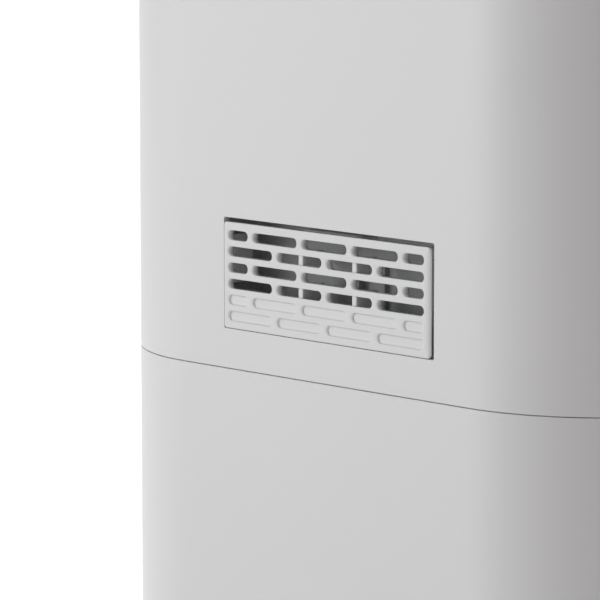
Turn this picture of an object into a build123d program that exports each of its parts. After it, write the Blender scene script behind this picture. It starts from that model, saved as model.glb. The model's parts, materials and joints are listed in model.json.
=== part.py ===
from build123d import *
import math
import os

# A free-standing compressor dehumidifier, in millimetres. The origin is on the floor under the middle
# of the cabinet, +Z is up, -Y is the front with the water tank, +Y the rear with the air filter and
# +X the narrow side wall with the small slotted vent.

# Cabinet
body_width = 340.0
body_depth = 230.0
corner_radius = 54.0
shell_wall = 2.5
seam_height = 180.0
shadow_gap = 0.3
shadow_depth = 1.2
housing_top = 455.0
foot_height = 8.0
foot_radius = 11.0
foot_inset = 45.0
base_floor = 3.0
base_edge_round = 5.0
guide_wall = 2.0
rail_height = 9.0
rail_width = 10.0
rail_x = 70.0

# Clearances
fit_gap = 0.3
slide_gap = 0.5
pin_gap = 0.05
pipe_gap = 4.0
pipe_sides = 8
cut_over = 1.0

# Water tank
panel_margin = 2.5
panel_wall = 2.5
bucket_inset = 1.0
bucket_wall = 2.2
bucket_corner = 12.0
bucket_rear_gap = 12.5
lid_thickness = 2.0
lid_headroom = 26.0
lid_inlet_radius = 14.0
grip_width = 110.0
grip_depth = 24.0
grip_corner = 8.0
window_width = 10.0
window_length = 84.0
window_side_gap = 29.5
window_gap = 0.15
float_width = 30.0
float_length = 40.0
float_height = 13.0
float_inset = 52.5
float_pivot_y = -10.0
float_pivot_drop = 8.0
float_barrel_radius = 4.0
float_pin_radius = 1.5
float_ear = 2.5
float_side_gap = 0.8

# Machine deck
deck_drop = 9.0
deck_thickness = 3.0
deck_rim = 2.0
deck_lap = 10.0
spout_bore = 4.0
spout_wall = 2.0
spout_length = 20.0
switch_width = 20.0
switch_depth = 10.0
switch_height = 18.0

# Side vent and humidity sensor
vent_width = 88.75
vent_height = 32.8
vent_centre_y = 1.75
vent_rise = 12.8
vent_side_gap = 0.2
vent_rear_gap = 1.0
vent_top_gap = 1.4
vent_thickness = 2.0
vent_corner = 1.1
vent_opening_corner = 0.6
vent_rear_round = 1.5
slot_length = 18.9
slot_height = 3.0
slot_bridge = 2.6
slot_columns = 4
slot_row_pitch = 5.0
slot_first_row_drop = 4.0
slot_shift = -0.5
open_slot_rows = 4
blind_slot_rows = 2
blind_slot_depth = 0.6
vent_rib_offset = 11.5
vent_rib_width = 2.0
vent_rib_recess = 0.8
vent_rib_depth = 8.0
vent_leg_wall = 1.5
vent_tab_width = 25.0
vent_tab_rise = 0.4
sensor_box_wall = 1.8
sensor_box_depth = 15.0
sensor_box_margin = 3.0
sensor_board_width = 22.0
sensor_board_height = 14.0
sensor_board = 1.6
sensor_chip = 5.0

# Rear intake
intake_margin = 12.0
intake_bottom_rise = 42.0
intake_top_drop = 25.0
grille_depth = 11.0
grille_border = 8.0
grille_slats = 15
grille_slat = 1.8
grille_slat_depth = 9.0
grille_slat_tilt = 30.0
filter_thickness = 3.0
filter_border = 6.0
filter_mesh_thickness = 0.8
filter_mesh_bar = 1.6
filter_columns = 8
filter_rows = 8

# Appliance inlet
inlet_side_gap = 24.0
inlet_rise = 26.0
inlet_width = 20.0
inlet_height = 12.0
inlet_depth = 13.0
inlet_wall = 2.0
inlet_flange = 2.0
inlet_flange_thickness = 1.5
inlet_pin_radius = 1.2
inlet_pin_pitch = 8.6
inlet_pin_recess = 2.0

# Coils and drip tray
tray_height = 18.0
tray_wall = 2.0
tray_margin = 10.0
tray_rib = 4.0
tray_rib_inset = 24.0
coil_rise = 21.0
coil_headroom = 47.0
coil_side_margin = 16.0
coil_depth = 20.0
coil_rear_gap = 1.0
coil_spacing = 6.0
coil_rows = 4
coil_fins = 14
fin_thickness = 1.4
tube_bar = 12.0
tube_radius = 4.0
tube_stub = 4.0
bend_straight = 1.0
row_stagger = 12.0
bulkhead_gap = 8.0
bulkhead_thickness = 2.0
bulkhead_edge = 3.0
bulkhead_lip = 6.0
bulkhead_headroom = 8.0

# Fan
impeller_radius = 66.0
blade_length = 12.0
blade_count = 24
blade_thickness = 1.6
impeller_disc = 2.0
impeller_side_gap = 5.0
hub_radius = 10.0
shaft_radius = 4.0
scroll_wall = 2.0
scroll_cutoff_gap = 6.0
scroll_step = 10.0
scroll_outlet_rise = 26.0
scroll_inlet_inset = 12.0
motor_radius = 38.0
motor_length = 44.0
motor_rib_count = 12
motor_rib = 2.0
motor_side_gap = 4.0

# Refrigerant circuit
compressor_radius = 40.0
compressor_side_gap = 22.0
compressor_front_gap = 10.0
compressor_rear_gap = 4.0
compressor_dome = 18.0
discharge_headroom = 60.0
ear_circle = 47.0
ear_radius = 8.0
ear_thickness = 3.0
grommet_height = 10.0
bolt_radius = 2.4
bolt_head_radius = 4.5
bolt_head_height = 3.0
stub_radius = 5.5
stub_reach = 4.0
suction_rise = 34.0
discharge_offset = 28.0
pipe_radius = 4.0
pipe_bend = 12.0
accumulator_radius = 14.0
accumulator_height = 66.0
accumulator_gap = 27.0
accumulator_lift = 20.0
drier_radius = 9.0
drier_height = 60.0
drier_lift = 18.0
can_neck = 5.0
can_taper = 9.0
capillary_radius = 1.5
capillary_bend = 10.0
capillary_rise = 26.0

# Electronics
electronics_width = 110.0
electronics_depth = 70.0
electronics_height = 62.0
electronics_wall = 2.0
electronics_front_gap = 9.0
electronics_side_gap = 40.0
board_lift = 8.0
board_thickness = 1.6
board_margin = 4.0
board_post = 6.0
capacitor_radius = 16.0
capacitor_length = 54.0
seat_gap = 0.1

# Top cover, louvre and handle
cover_height = 17.0
cover_edge_round = 10.0
cover_top_wall = 2.5
cover_lap = 8.0
cover_lap_wall = 2.0
outlet_centre_y = -6.0
louvre_width = 200.0
louvre_depth = 56.0
louvre_thickness = 2.2
louvre_barrel_radius = 3.5
louvre_pin_radius = 2.0
louvre_vanes = 4
louvre_vane = 1.6
louvre_vane_drop = 7.0
louvre_vane_setback = 5.0
collar_wall = 2.5
collar_drop = 3.0
guard_ledge = 3.0
guard_thickness = 3.0
guard_bars = 16
guard_bar = 2.0
guard_border = 4.0
hood_wall = 2.0
handle_span = 250.0
handle_pivot_y = 10.0
handle_reach = 72.0
handle_arm = 14.0
handle_height = 9.0
handle_corner = 10.0
handle_pin_radius = 3.0
handle_pin_length = 4.0
groove_depth = 10.0
groove_wall = 4.5
groove_floor = 2.0
finger_width = 60.0
finger_depth = 18.0

# Control panel
control_width = 150.0
control_depth = 36.0
control_corner = 6.0
control_centre_y = -80.0
control_thickness = 1.5
control_pad_margin = 5.0
control_pad_drop = 6.0
button_count = 4
button_pitch = 32.0
button_radius = 6.0
button_rim = 2.0
button_proud = 0.6
button_flange = 2.0
button_travel = 0.8
button_edge = 0.4
control_board_drop = 5.4
control_switch_width = 5.0
switch_travel_gap = 0.3

# Places that follow from the driving dimensions
half_width = body_width / 2
half_depth = body_depth / 2
inner_x = half_width - shell_wall
inner_y = half_depth - shell_wall
flat_half = half_width - corner_radius
base_bottom = foot_height
floor_top = base_bottom + base_floor
rail_top = floor_top + rail_height
deck_top = seam_height - deck_drop
deck_under = deck_top - deck_thickness
deck_inset = shell_wall + fit_gap
deck_rim_top = seam_height + deck_lap
cover_top = housing_top + cover_height
cover_under = cover_top - cover_top_wall

panel_half = flat_half - panel_margin
mouth_half = panel_half + slide_gap
panel_top = seam_height - fit_gap
panel_bottom = rail_top + slide_gap
bucket_half = panel_half - bucket_inset
bucket_front = -half_depth + panel_wall
bucket_rear = inner_y - bucket_rear_gap
bucket_bottom = rail_top + fit_gap
lid_top = deck_under - lid_headroom
bucket_top = lid_top - lid_thickness
float_x = float_inset - bucket_half
float_pivot_z = bucket_top - float_pivot_drop
window_x = panel_half - window_side_gap
window_z = (bucket_bottom + bucket_top) / 2

vent_bottom = seam_height + vent_rise
vent_top = vent_bottom + vent_height
vent_y0 = vent_centre_y - vent_width / 2
vent_y1 = vent_centre_y + vent_width / 2
slot_pitch = slot_length + slot_bridge
half_slot = (slot_length - slot_bridge) / 2
sensor_box_face = half_width - shell_wall
sensor_box_back = sensor_box_face - sensor_box_depth

intake_half = flat_half - intake_margin
intake_bottom = seam_height + intake_bottom_rise
intake_top = housing_top - intake_top_drop
filter_half = intake_half - slide_gap
filter_bottom = intake_bottom + slide_gap
filter_top = intake_top - slide_gap
grille_front = half_depth - grille_depth
filter_front = grille_front - filter_thickness
inlet_x = intake_half - inlet_side_gap
inlet_z = seam_height + inlet_rise

coil_half = intake_half - coil_side_margin
coil_bottom = deck_top + coil_rise
coil_top = housing_top - coil_headroom
row_pitch = (coil_top - coil_bottom) / coil_rows
evaporator_y1 = filter_front - coil_rear_gap
evaporator_y0 = evaporator_y1 - coil_depth
condenser_y1 = evaporator_y0 - coil_spacing
condenser_y0 = condenser_y1 - coil_depth
evaporator_y = (evaporator_y0 + evaporator_y1) / 2
condenser_y = (condenser_y0 + condenser_y1) / 2
bend_radius = (row_pitch - bend_straight) / 2
coil_end = coil_half + tube_stub
coil_reach = coil_end + bend_radius + tube_radius
bulkhead_half = coil_reach + bulkhead_edge
bulkhead_y = condenser_y0 - bulkhead_gap
bulkhead_front = bulkhead_y - bulkhead_thickness
spout_y = (condenser_y + evaporator_y) / 2

compressor_x = -inner_x + compressor_side_gap + compressor_radius
compressor_y = -inner_y + compressor_front_gap + compressor_radius
compressor_bottom = deck_top + grommet_height
compressor_top = coil_top - discharge_headroom - stub_reach
scroll_front = compressor_y + compressor_radius + compressor_rear_gap
motor_front = scroll_front - motor_length
fan_x = compressor_x + compressor_radius + motor_side_gap + motor_radius
fan_z = (coil_bottom + coil_top) / 2
scroll_radius = impeller_radius + scroll_cutoff_gap
scroll_outlet_z = fan_z + scroll_radius + scroll_outlet_rise
scroll_right = fan_x + scroll_radius + 3 * scroll_step

accumulator_x = compressor_x + compressor_radius + accumulator_gap
accumulator_y = motor_front - accumulator_radius - pipe_gap
suction_z = compressor_bottom + suction_rise
accumulator_bottom = suction_z + accumulator_lift
accumulator_top = accumulator_bottom + accumulator_height
discharge_x = compressor_x - discharge_offset
suction_x = discharge_x - pipe_gap - 2 * pipe_radius
drier_x = discharge_x - pipe_gap
drier_y = compressor_y + compressor_radius + ear_circle

outlet_half_x = louvre_width / 2 + slide_gap
outlet_y0 = outlet_centre_y - louvre_depth / 2 - slide_gap
outlet_y1 = outlet_centre_y + louvre_depth / 2 + slide_gap
hinge_y = outlet_centre_y + louvre_depth / 2 - louvre_barrel_radius
hinge_z = cover_top - louvre_barrel_radius
collar_bottom = housing_top - collar_drop
handle_z = cover_top - slide_gap - handle_height / 2
handle_bar_y = handle_pivot_y + handle_reach
control_pocket = cover_top - control_thickness
control_pad_bottom = cover_top - control_pad_drop
board_top = control_pad_bottom - control_board_drop
switch_top = control_pad_bottom - fit_gap - button_flange - button_travel - switch_travel_gap
button_names = ["power_button", "mode_button", "humidity_button", "timer_button"]


# Shared shapes

def block(x0, x1, y0, y1, z0, z1):
    centre = Pos((x0 + x1) / 2, (y0 + y1) / 2, (z0 + z1) / 2)
    return centre * Box(x1 - x0, y1 - y0, z1 - z0)


def cabinet_prism(inset, z0, z1):
    outline = RectangleRounded(body_width - 2 * inset, body_depth - 2 * inset, corner_radius - inset)
    return extrude(Plane.XY.offset(z0) * outline, z1 - z0)


def rod_x(radius, x0, x1, y, z):
    return Pos((x0 + x1) / 2, y, z) * Rot(0, 90, 0) * Cylinder(radius, x1 - x0)


def rod_y(radius, y0, y1, x, z):
    return Pos(x, (y0 + y1) / 2, z) * Rot(90, 0, 0) * Cylinder(radius, y1 - y0)


def rod_z(radius, z0, z1, x, y):
    return Pos(x, y, (z0 + z1) / 2) * Cylinder(radius, z1 - z0)


# A sketch drawn in X and Z, made solid between two depths
def upright(sketch, y0, y1):
    return extrude(Plane.XZ.offset(-y1) * sketch, y1 - y0)


# A sketch drawn in Y and Z, made solid between two places across the cabinet
def sideways(sketch, x0, x1):
    return extrude(Plane.YZ.offset(x0) * sketch, x1 - x0)


# Tubes have a few flat sides in place of a true circle, to keep their bends light
def pipe(points, radius, bend):
    path = FilletPolyline(*points, radius=bend)
    return sweep(Plane(path @ 0, z_dir=path % 0) * RegularPolygon(radius, pipe_sides), path=path)


def mirrored_x(solid):
    return [solid, mirror(solid, Plane.YZ)]


# Base with the tank bay

def make_base_housing():
    shell = cabinet_prism(0, base_bottom, seam_height)
    shell = fillet(shell.faces().sort_by(Axis.Z)[0].edges(), base_edge_round)
    shell -= cabinet_prism(shell_wall, floor_top, seam_height + cut_over)
    shell -= block(-mouth_half, mouth_half, -half_depth - cut_over, -inner_y + cut_over,
                   rail_top, seam_height + cut_over)
    guide = block(mouth_half, mouth_half + guide_wall, -half_depth + shell_wall / 2, inner_y,
                  floor_top, deck_under)
    rail = block(rail_x - rail_width / 2, rail_x + rail_width / 2, -inner_y, bucket_rear,
                 floor_top, rail_top)
    return shell + mirrored_x(guide) + mirrored_x(rail)


def make_rubber_feet():
    foot = Cylinder(foot_radius, foot_height, align=(Align.CENTER, Align.CENTER, Align.MIN))
    foot = chamfer(foot.edges().group_by(Axis.Z)[0], foot_height / 6)
    spread_x = 2 * (half_width - foot_inset)
    spread_y = 2 * (half_depth - foot_inset)
    return [place * foot for place in GridLocations(spread_x, spread_y, 2, 2)]


# Water tank

def bucket_prism(inset, z0, z1):
    depth = bucket_rear - bucket_front
    outline = RectangleRounded(2 * (bucket_half - inset), depth - 2 * inset, bucket_corner - inset)
    return extrude(Pos(0, (bucket_front + bucket_rear) / 2, z0) * outline, z1 - z0)


def make_tank_bucket():
    return bucket_prism(0, bucket_bottom, bucket_top) - bucket_prism(
        bucket_wall, bucket_bottom + bucket_wall, bucket_top + cut_over)


def window_outline(gap):
    slot = SlotOverall(window_length - 2 * gap, window_width - 2 * gap)
    return Pos(window_x, window_z) * Rot(0, 0, 90) * slot


def make_tank_front_panel():
    plate = Pos(0, (panel_bottom + panel_top) / 2) * Rectangle(2 * panel_half, panel_top - panel_bottom)
    grip = Pos(0, panel_top) * RectangleRounded(grip_width, 2 * grip_depth, grip_corner)
    return upright(plate - grip - window_outline(0), -half_depth, bucket_front)


def make_level_window():
    return upright(window_outline(window_gap), -half_depth, bucket_front)


def make_tank_lid():
    lip_inset = bucket_wall + fit_gap
    lid = bucket_prism(0, bucket_top, lid_top)
    lip = bucket_prism(lip_inset, bucket_top - lid_thickness, bucket_top)
    lip -= bucket_prism(lip_inset + bucket_wall, bucket_top - lid_thickness, bucket_top)
    ear_in = float_width / 2 + float_side_gap
    ear = block(ear_in, ear_in + float_ear, float_pivot_y - float_barrel_radius,
                float_pivot_y + float_barrel_radius, float_pivot_z - float_barrel_radius, bucket_top)
    lid += lip + [Pos(float_x, 0, 0) * side for side in mirrored_x(ear)]
    reach = ear_in + float_ear + cut_over
    lid -= rod_x(float_pin_radius + pin_gap, float_x - reach, float_x + reach, float_pivot_y, float_pivot_z)
    return lid - rod_z(lid_inlet_radius, bucket_top - cut_over, lid_top + cut_over, 0, spout_y)


def make_tank_float():
    x0 = float_x - float_width / 2
    x1 = float_x + float_width / 2
    top = float_pivot_z - cut_over
    body = block(x0, x1, float_pivot_y, float_pivot_y + float_length, top - float_height, top)
    body += rod_x(float_barrel_radius, x0, x1, float_pivot_y, float_pivot_z)
    pin_reach = float_side_gap + float_ear
    return body + rod_x(float_pin_radius, x0 - pin_reach, x1 + pin_reach, float_pivot_y, float_pivot_z)


# Deck that carries the machinery over the tank

def make_machine_deck():
    deck = cabinet_prism(deck_inset, deck_under, deck_rim_top)
    deck -= cabinet_prism(deck_inset + deck_rim, deck_top, deck_rim_top + cut_over)
    deck += rod_z(spout_bore + spout_wall, deck_under - spout_length, deck_under, 0, spout_y)
    return deck - rod_z(spout_bore, deck_under - spout_length - cut_over, deck_top + cut_over, 0, spout_y)


def make_tank_switch():
    y0 = bucket_rear + slide_gap
    case = block(-switch_width / 2, switch_width / 2, y0, y0 + switch_depth,
                 deck_under - switch_height, deck_under)
    return chamfer(case.edges().filter_by(Axis.Z), slide_gap)


# Upper housing and its side vent

def make_upper_housing():
    shell = cabinet_prism(0, seam_height, housing_top)
    shell -= cabinet_prism(shell_wall, seam_height - cut_over, housing_top + cut_over)
    step = cabinet_prism(-cut_over, seam_height, seam_height + shadow_gap)
    shell -= step - cabinet_prism(shadow_depth, seam_height, seam_height + shadow_gap)
    opening = Pos(vent_centre_y + (vent_rear_gap - vent_side_gap) / 2,
                  (vent_bottom + vent_top + vent_top_gap - vent_side_gap) / 2) * RectangleRounded(
        vent_width + vent_side_gap + vent_rear_gap, vent_height + vent_side_gap + vent_top_gap,
        vent_opening_corner)
    shell -= sideways(opening, inner_x - cut_over, half_width + cut_over)
    shell -= block(-intake_half, intake_half, inner_y - cut_over, half_depth + cut_over,
                   intake_bottom, intake_top)
    inlet_x0 = inlet_x - inlet_width / 2 - fit_gap
    inlet_x1 = inlet_x + inlet_width / 2 + fit_gap
    return shell - block(inlet_x0, inlet_x1, inner_y - cut_over, half_depth + cut_over,
                         inlet_z - inlet_height / 2 - fit_gap, inlet_z + inlet_height / 2 + fit_gap)


# Places of the slots in one row: full slots, or full slots between two halves
def slot_row(row):
    if row % 2:
        return [((i - (slot_columns - 1) / 2) * slot_pitch, slot_length) for i in range(slot_columns)]
    inner = slot_columns - 1
    full = [((i - (inner - 1) / 2) * slot_pitch, slot_length) for i in range(inner)]
    end = (inner * slot_pitch + half_slot + slot_bridge) / 2
    return [(-end, half_slot)] + full + [(end, half_slot)]


def slot_row_z(row):
    return vent_top - slot_first_row_drop - row * slot_row_pitch


def slot_sketch(rows):
    pills = []
    for row in rows:
        for y, length in slot_row(row):
            place = Pos(vent_centre_y + slot_shift + y, slot_row_z(row))
            pills.append(place * SlotOverall(length, slot_height))
    return Sketch() + pills


# The plate's section is rounded off at the rear edge only
def vent_section():
    section = Pos(half_width - vent_thickness / 2, vent_centre_y) * Rectangle(vent_thickness, vent_width)
    return fillet(section.vertices().group_by(Axis.Y)[-1].sort_by(Axis.X)[-1], vent_rear_round)


def make_side_vent_cover():
    back = half_width - vent_thickness
    outline = Pos(vent_centre_y, vent_bottom + vent_height / 2) * RectangleRounded(
        vent_width, vent_height, vent_corner)
    cover = extrude(Plane.XY.offset(vent_bottom) * vent_section(), vent_height)
    cover &= sideways(outline, back, half_width)
    cover -= sideways(slot_sketch(range(open_slot_rows)), back - cut_over, half_width + cut_over)
    blind = range(open_slot_rows, open_slot_rows + blind_slot_rows)
    cover -= sideways(slot_sketch(blind), half_width - blind_slot_depth, half_width + cut_over)
    leg_bottom = slot_row_z(open_slot_rows - 1)
    for side in (-1, 1):
        rib = vent_centre_y + side * vent_rib_offset
        for row in range(1, open_slot_rows, 2):
            cover += block(back - vent_rib_depth, half_width - vent_rib_recess, rib - vent_rib_width / 2,
                           rib + vent_rib_width / 2, slot_row_z(row + 0.5), slot_row_z(row - 0.5))
        leg = vent_centre_y + side * (vent_width / 2 - vent_leg_wall)
        cover += block(back - vent_rib_depth, back, leg - vent_leg_wall / 2, leg + vent_leg_wall / 2,
                       leg_bottom, slot_row_z(0))
    tab_y0 = vent_centre_y - vent_tab_width / 2
    return cover + block(back - vent_rib_depth, back, tab_y0, tab_y0 + vent_tab_width,
                         vent_top - vent_leg_wall, vent_top + vent_tab_rise)


def make_sensor_box():
    y0 = vent_y0 - sensor_box_margin
    y1 = vent_y1 + sensor_box_margin
    z0 = deck_rim_top + fit_gap
    z1 = vent_top + vent_top_gap + sensor_box_margin
    box = block(sensor_box_back, sensor_box_face, y0, y1, z0, z1)
    return box - block(sensor_box_back + sensor_box_wall, sensor_box_face + cut_over, y0 + sensor_box_wall,
                       y1 - sensor_box_wall, z0 + sensor_box_wall, z1 - sensor_box_wall)


def make_humidity_sensor():
    x = sensor_box_back + sensor_box_wall
    z = vent_top - vent_height / 2
    board = block(x, x + sensor_board, vent_centre_y - sensor_board_width / 2,
                  vent_centre_y + sensor_board_width / 2, z - sensor_board_height / 2,
                  z + sensor_board_height / 2)
    chip = block(x + sensor_board, x + sensor_board + sensor_chip / 2, vent_centre_y - sensor_chip / 2,
                 vent_centre_y + sensor_chip / 2, z - sensor_chip / 2, z + sensor_chip / 2)
    return board + chip


# Rear intake with its pull-out filter

def filter_outline(border):
    size = (2 * (filter_half - border), filter_top - filter_bottom - 2 * border)
    return Pos(0, (filter_bottom + filter_top) / 2) * Rectangle(*size)


def make_rear_grille():
    grille = upright(filter_outline(0) - filter_outline(grille_border), grille_front, half_depth)
    span = 2 * (filter_half - grille_border) + 2 * cut_over
    height = filter_top - filter_bottom - 2 * grille_border
    y = (grille_front + half_depth) / 2
    for i in range(grille_slats):
        z = filter_bottom + grille_border + (i + 0.5) * height / grille_slats
        grille += Pos(0, y, z) * Rot(-grille_slat_tilt, 0, 0) * Box(span, grille_slat_depth, grille_slat)
    post = block(-grille_slat, grille_slat, y, half_depth - grille_slat,
                 filter_bottom + grille_border - cut_over, filter_top - grille_border + cut_over)
    return grille + post


def make_filter_frame():
    frame = upright(filter_outline(0) - filter_outline(filter_border), filter_front, grille_front)
    mesh_rear = filter_front + (filter_thickness + filter_mesh_thickness) / 2
    bars = Pos(0, (filter_bottom + filter_top) / 2) * (
        Rectangle(2 * filter_half - filter_border, filter_border) +
        Rectangle(filter_border, filter_top - filter_bottom - filter_border))
    return frame + upright(bars, mesh_rear, grille_front)


def make_filter_mesh():
    width = 2 * (filter_half - filter_border - pin_gap)
    height = filter_top - filter_bottom - 2 * (filter_border + pin_gap)
    net = Rectangle(width, height)
    pitch_x = width / filter_columns
    pitch_z = height / filter_rows
    hole = Rectangle(pitch_x - filter_mesh_bar, pitch_z - filter_mesh_bar)
    net -= GridLocations(pitch_x, pitch_z, filter_columns, filter_rows) * hole
    mesh_front = filter_front + (filter_thickness - filter_mesh_thickness) / 2
    place = Pos(0, (filter_bottom + filter_top) / 2)
    return upright(place * net, mesh_front, mesh_front + filter_mesh_thickness)


# Mains inlet with two pins

def make_appliance_inlet():
    size = (inlet_width, inlet_height)
    body = upright(Pos(inlet_x, inlet_z) * Rectangle(*size), half_depth - inlet_depth, half_depth)
    flange = Rectangle(inlet_width + 2 * inlet_flange, inlet_height + 2 * inlet_flange)
    body += upright(Pos(inlet_x, inlet_z) * flange, inner_y - inlet_flange_thickness, inner_y)
    hollow = SlotOverall(inlet_width - 2 * inlet_wall, inlet_height - 2 * inlet_wall)
    return body - upright(Pos(inlet_x, inlet_z) * hollow, half_depth - inlet_depth + inlet_wall,
                          half_depth + cut_over)


def make_inlet_pins():
    y0 = half_depth - inlet_depth + inlet_wall
    y1 = half_depth - inlet_pin_recess
    places = [inlet_x + side * inlet_pin_pitch / 2 for side in (-1, 1)]
    return [rod_y(inlet_pin_radius, y0, y1, x, inlet_z) for x in places]


# Coils, their tray and the bulkhead towards the fan

def make_drip_tray():
    x = coil_half + tray_margin
    y0 = condenser_y0 - tray_wall
    y1 = evaporator_y1
    tray = block(-x, x, y0, y1, deck_top, deck_top + tray_height)
    tray -= block(-x + tray_wall, x - tray_wall, y0 + tray_wall, y1 - tray_wall,
                  deck_top + tray_wall, deck_top + tray_height + cut_over)
    rib_x = coil_half - tray_rib_inset
    rib = block(rib_x - tray_rib, rib_x, y0 + tray_wall, y1 - tray_wall, deck_top, coil_bottom)
    tray += mirrored_x(rib)
    return tray - rod_z(spout_bore, deck_top - cut_over, deck_top + tray_wall + cut_over, 0, spout_y)


def row_heights(stagger):
    return [coil_bottom + (i + 0.5) * row_pitch - stagger for i in range(coil_rows)]


# Fins as thin uprights between the bars that hold the tubes
def make_coil_fins(y0, y1, stagger):
    heights = row_heights(stagger)
    face = Pos(0, (coil_bottom + coil_top) / 2) * Rectangle(2 * coil_half, coil_top - coil_bottom)
    fin_pitch = (2 * coil_half - fin_thickness) / coil_fins
    windows = GridLocations(fin_pitch, row_pitch, coil_fins, coil_rows - 1) * Rectangle(
        fin_pitch - fin_thickness, row_pitch - tube_bar)
    face -= [Pos(0, (heights[0] + heights[-1]) / 2) * window for window in windows]
    fins = upright(face, y0, y1)
    for z in heights:
        start = Plane((-coil_end, (y0 + y1) / 2, z), z_dir=(1, 0, 0))
        fins -= extrude(start * RegularPolygon(tube_radius + pin_gap, pipe_sides), 2 * coil_end)
    return fins


def make_coil_tubes(y, stagger):
    turn = coil_end + bend_radius
    points = [(-coil_end, y, row_heights(stagger)[0])]
    side = 1
    for low, high in zip(row_heights(stagger), row_heights(stagger)[1:]):
        points += [(side * turn, y, low), (side * turn, y, high)]
        side = -side
    points.append((-coil_end, y, row_heights(stagger)[-1]))
    return pipe(points, tube_radius, bend_radius)


def make_coil_bulkhead():
    top = coil_top + bulkhead_headroom
    plate = block(-bulkhead_half, bulkhead_half, bulkhead_front, bulkhead_y, deck_top, top)
    lip = block(bulkhead_half - bulkhead_thickness, bulkhead_half, bulkhead_y, bulkhead_y + bulkhead_lip,
                deck_top, top)
    plate += mirrored_x(lip)
    plate += block(-bulkhead_half, bulkhead_half, bulkhead_y, bulkhead_y + bulkhead_lip,
                   top - bulkhead_thickness, top)
    inlet_radius = impeller_radius - scroll_inlet_inset
    return plate - rod_y(inlet_radius, bulkhead_front - cut_over, bulkhead_y + cut_over, fan_x, fan_z)


# Centrifugal fan. The scroll's wall is three quarter circles, each a step wider than the one before

def scroll_outline(grow, top):
    r1 = scroll_radius + grow
    r2 = r1 + scroll_step
    r3 = r2 + scroll_step
    c1 = Vector(fan_x, fan_z)
    c2 = c1 + Vector(scroll_step, 0)
    c3 = c2 + Vector(0, scroll_step)
    lip = c1 + Vector(-grow, math.sqrt(r1 * r1 - grow * grow))
    left = c1 - Vector(r1, 0)
    bottom = c2 - Vector(0, r2)
    right = c3 + Vector(r3, 0)
    lean = math.radians(135)
    bend = [Vector(math.cos(lean + i * math.pi / 2), math.sin(lean + i * math.pi / 2)) for i in range(3)]
    walls = [ThreePointArc(lip, c1 + bend[0] * r1, left),
             ThreePointArc(left, c2 + bend[1] * r2, bottom),
             ThreePointArc(bottom, c3 + bend[2] * r3, right),
             Polyline(right, (right.X, top), (lip.X, top), lip)]
    return make_face(walls)


def make_fan_scroll():
    scroll = upright(scroll_outline(scroll_wall, scroll_outlet_z), scroll_front, bulkhead_front)
    scroll -= upright(scroll_outline(0, scroll_outlet_z + cut_over), scroll_front + scroll_wall,
                      bulkhead_front - scroll_wall)
    inlet_radius = impeller_radius - scroll_inlet_inset
    scroll -= rod_y(inlet_radius, bulkhead_front - scroll_wall - cut_over, bulkhead_front + cut_over,
                    fan_x, fan_z)
    return scroll - rod_y(hub_radius, scroll_front - cut_over, scroll_front + scroll_wall + cut_over,
                          fan_x, fan_z)


# One forward-bent blade, drawn with the fan's axis at the origin
def blade_outline():
    root = Vector(impeller_radius - blade_length, 0)
    tip = Vector(impeller_radius, blade_length / 2)
    middle = (root + tip) * 0.5
    across = Vector(root.Y - tip.Y, tip.X - root.X).normalized() * blade_thickness
    return make_face(Polyline(root, middle - across, tip, middle - across * 2, root))


def make_fan_impeller():
    y0 = scroll_front + scroll_wall + impeller_side_gap
    y1 = bulkhead_front - scroll_wall - impeller_side_gap
    centre = Pos(fan_x, fan_z)
    ring = Circle(impeller_radius) - Circle(impeller_radius - blade_length)
    wheel = upright(centre * Circle(impeller_radius), y0, y0 + impeller_disc)
    wheel += upright(centre * ring, y1 - impeller_disc, y1)
    blade = upright(blade_outline(), y0, y1)
    turn = 360 / blade_count
    wheel += [Pos(fan_x, 0, fan_z) * Rot(0, i * turn, 0) * blade for i in range(blade_count)]
    wheel += rod_y(hub_radius, y0, (y0 + y1) / 2, fan_x, fan_z)
    return wheel - rod_y(shaft_radius, y0 - cut_over, y1, fan_x, fan_z)


def make_fan_shaft():
    y1 = (scroll_front + bulkhead_front) / 2
    return rod_y(shaft_radius, motor_front + shell_wall, y1, fan_x, fan_z)


def make_fan_motor():
    motor = rod_y(motor_radius - motor_rib, motor_front, scroll_front, fan_x, fan_z)
    motor = chamfer(motor.edges().sort_by(Axis.Y)[0], motor_rib)
    rib = Pos(motor_radius - motor_rib, 0, 0) * Box(2 * motor_rib, motor_length / 2, motor_rib)
    y = (motor_front + scroll_front) / 2
    turn = 360 / motor_rib_count
    motor += [Pos(fan_x, y, fan_z) * Rot(0, i * turn, 0) * rib for i in range(motor_rib_count)]
    return motor - rod_y(shaft_radius + pin_gap, motor_front + shell_wall - slide_gap,
                         scroll_front + cut_over, fan_x, fan_z)


# A block whose four sides slope from one rectangle to another
def sloped_block(z0, low, z1, high):
    ends = [[(x0, y0, z), (x1, y0, z), (x1, y1, z), (x0, y1, z)]
            for z, (x0, x1, y0, y1) in ((z0, low), (z1, high))]
    sides = [[ends[0][i - 1], ends[0][i], ends[1][i], ends[1][i - 1]] for i in range(4)]
    return Solid(Shell([Face(Wire.make_polygon(corners)) for corners in ends + sides]))


# Duct from the scroll's outlet to the collar under the louvre
def make_outlet_hood():
    x = outlet_half_x + collar_wall
    y0 = outlet_y0 - collar_wall
    y1 = outlet_y1 + collar_wall
    ledge = collar_wall + guard_ledge
    throat = (fan_x, scroll_right, scroll_front + hood_wall, bulkhead_front - hood_wall)
    mouth = (-x + ledge, x - ledge, y0 + ledge, y1 - ledge)
    foot = (fan_x - scroll_wall, scroll_right + scroll_wall, scroll_front, bulkhead_front)
    outer = sloped_block(scroll_outlet_z, foot, collar_bottom, (-x, x, y0, y1))
    return outer - sloped_block(scroll_outlet_z, throat, collar_bottom, mouth)


# Refrigerant circuit

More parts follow.
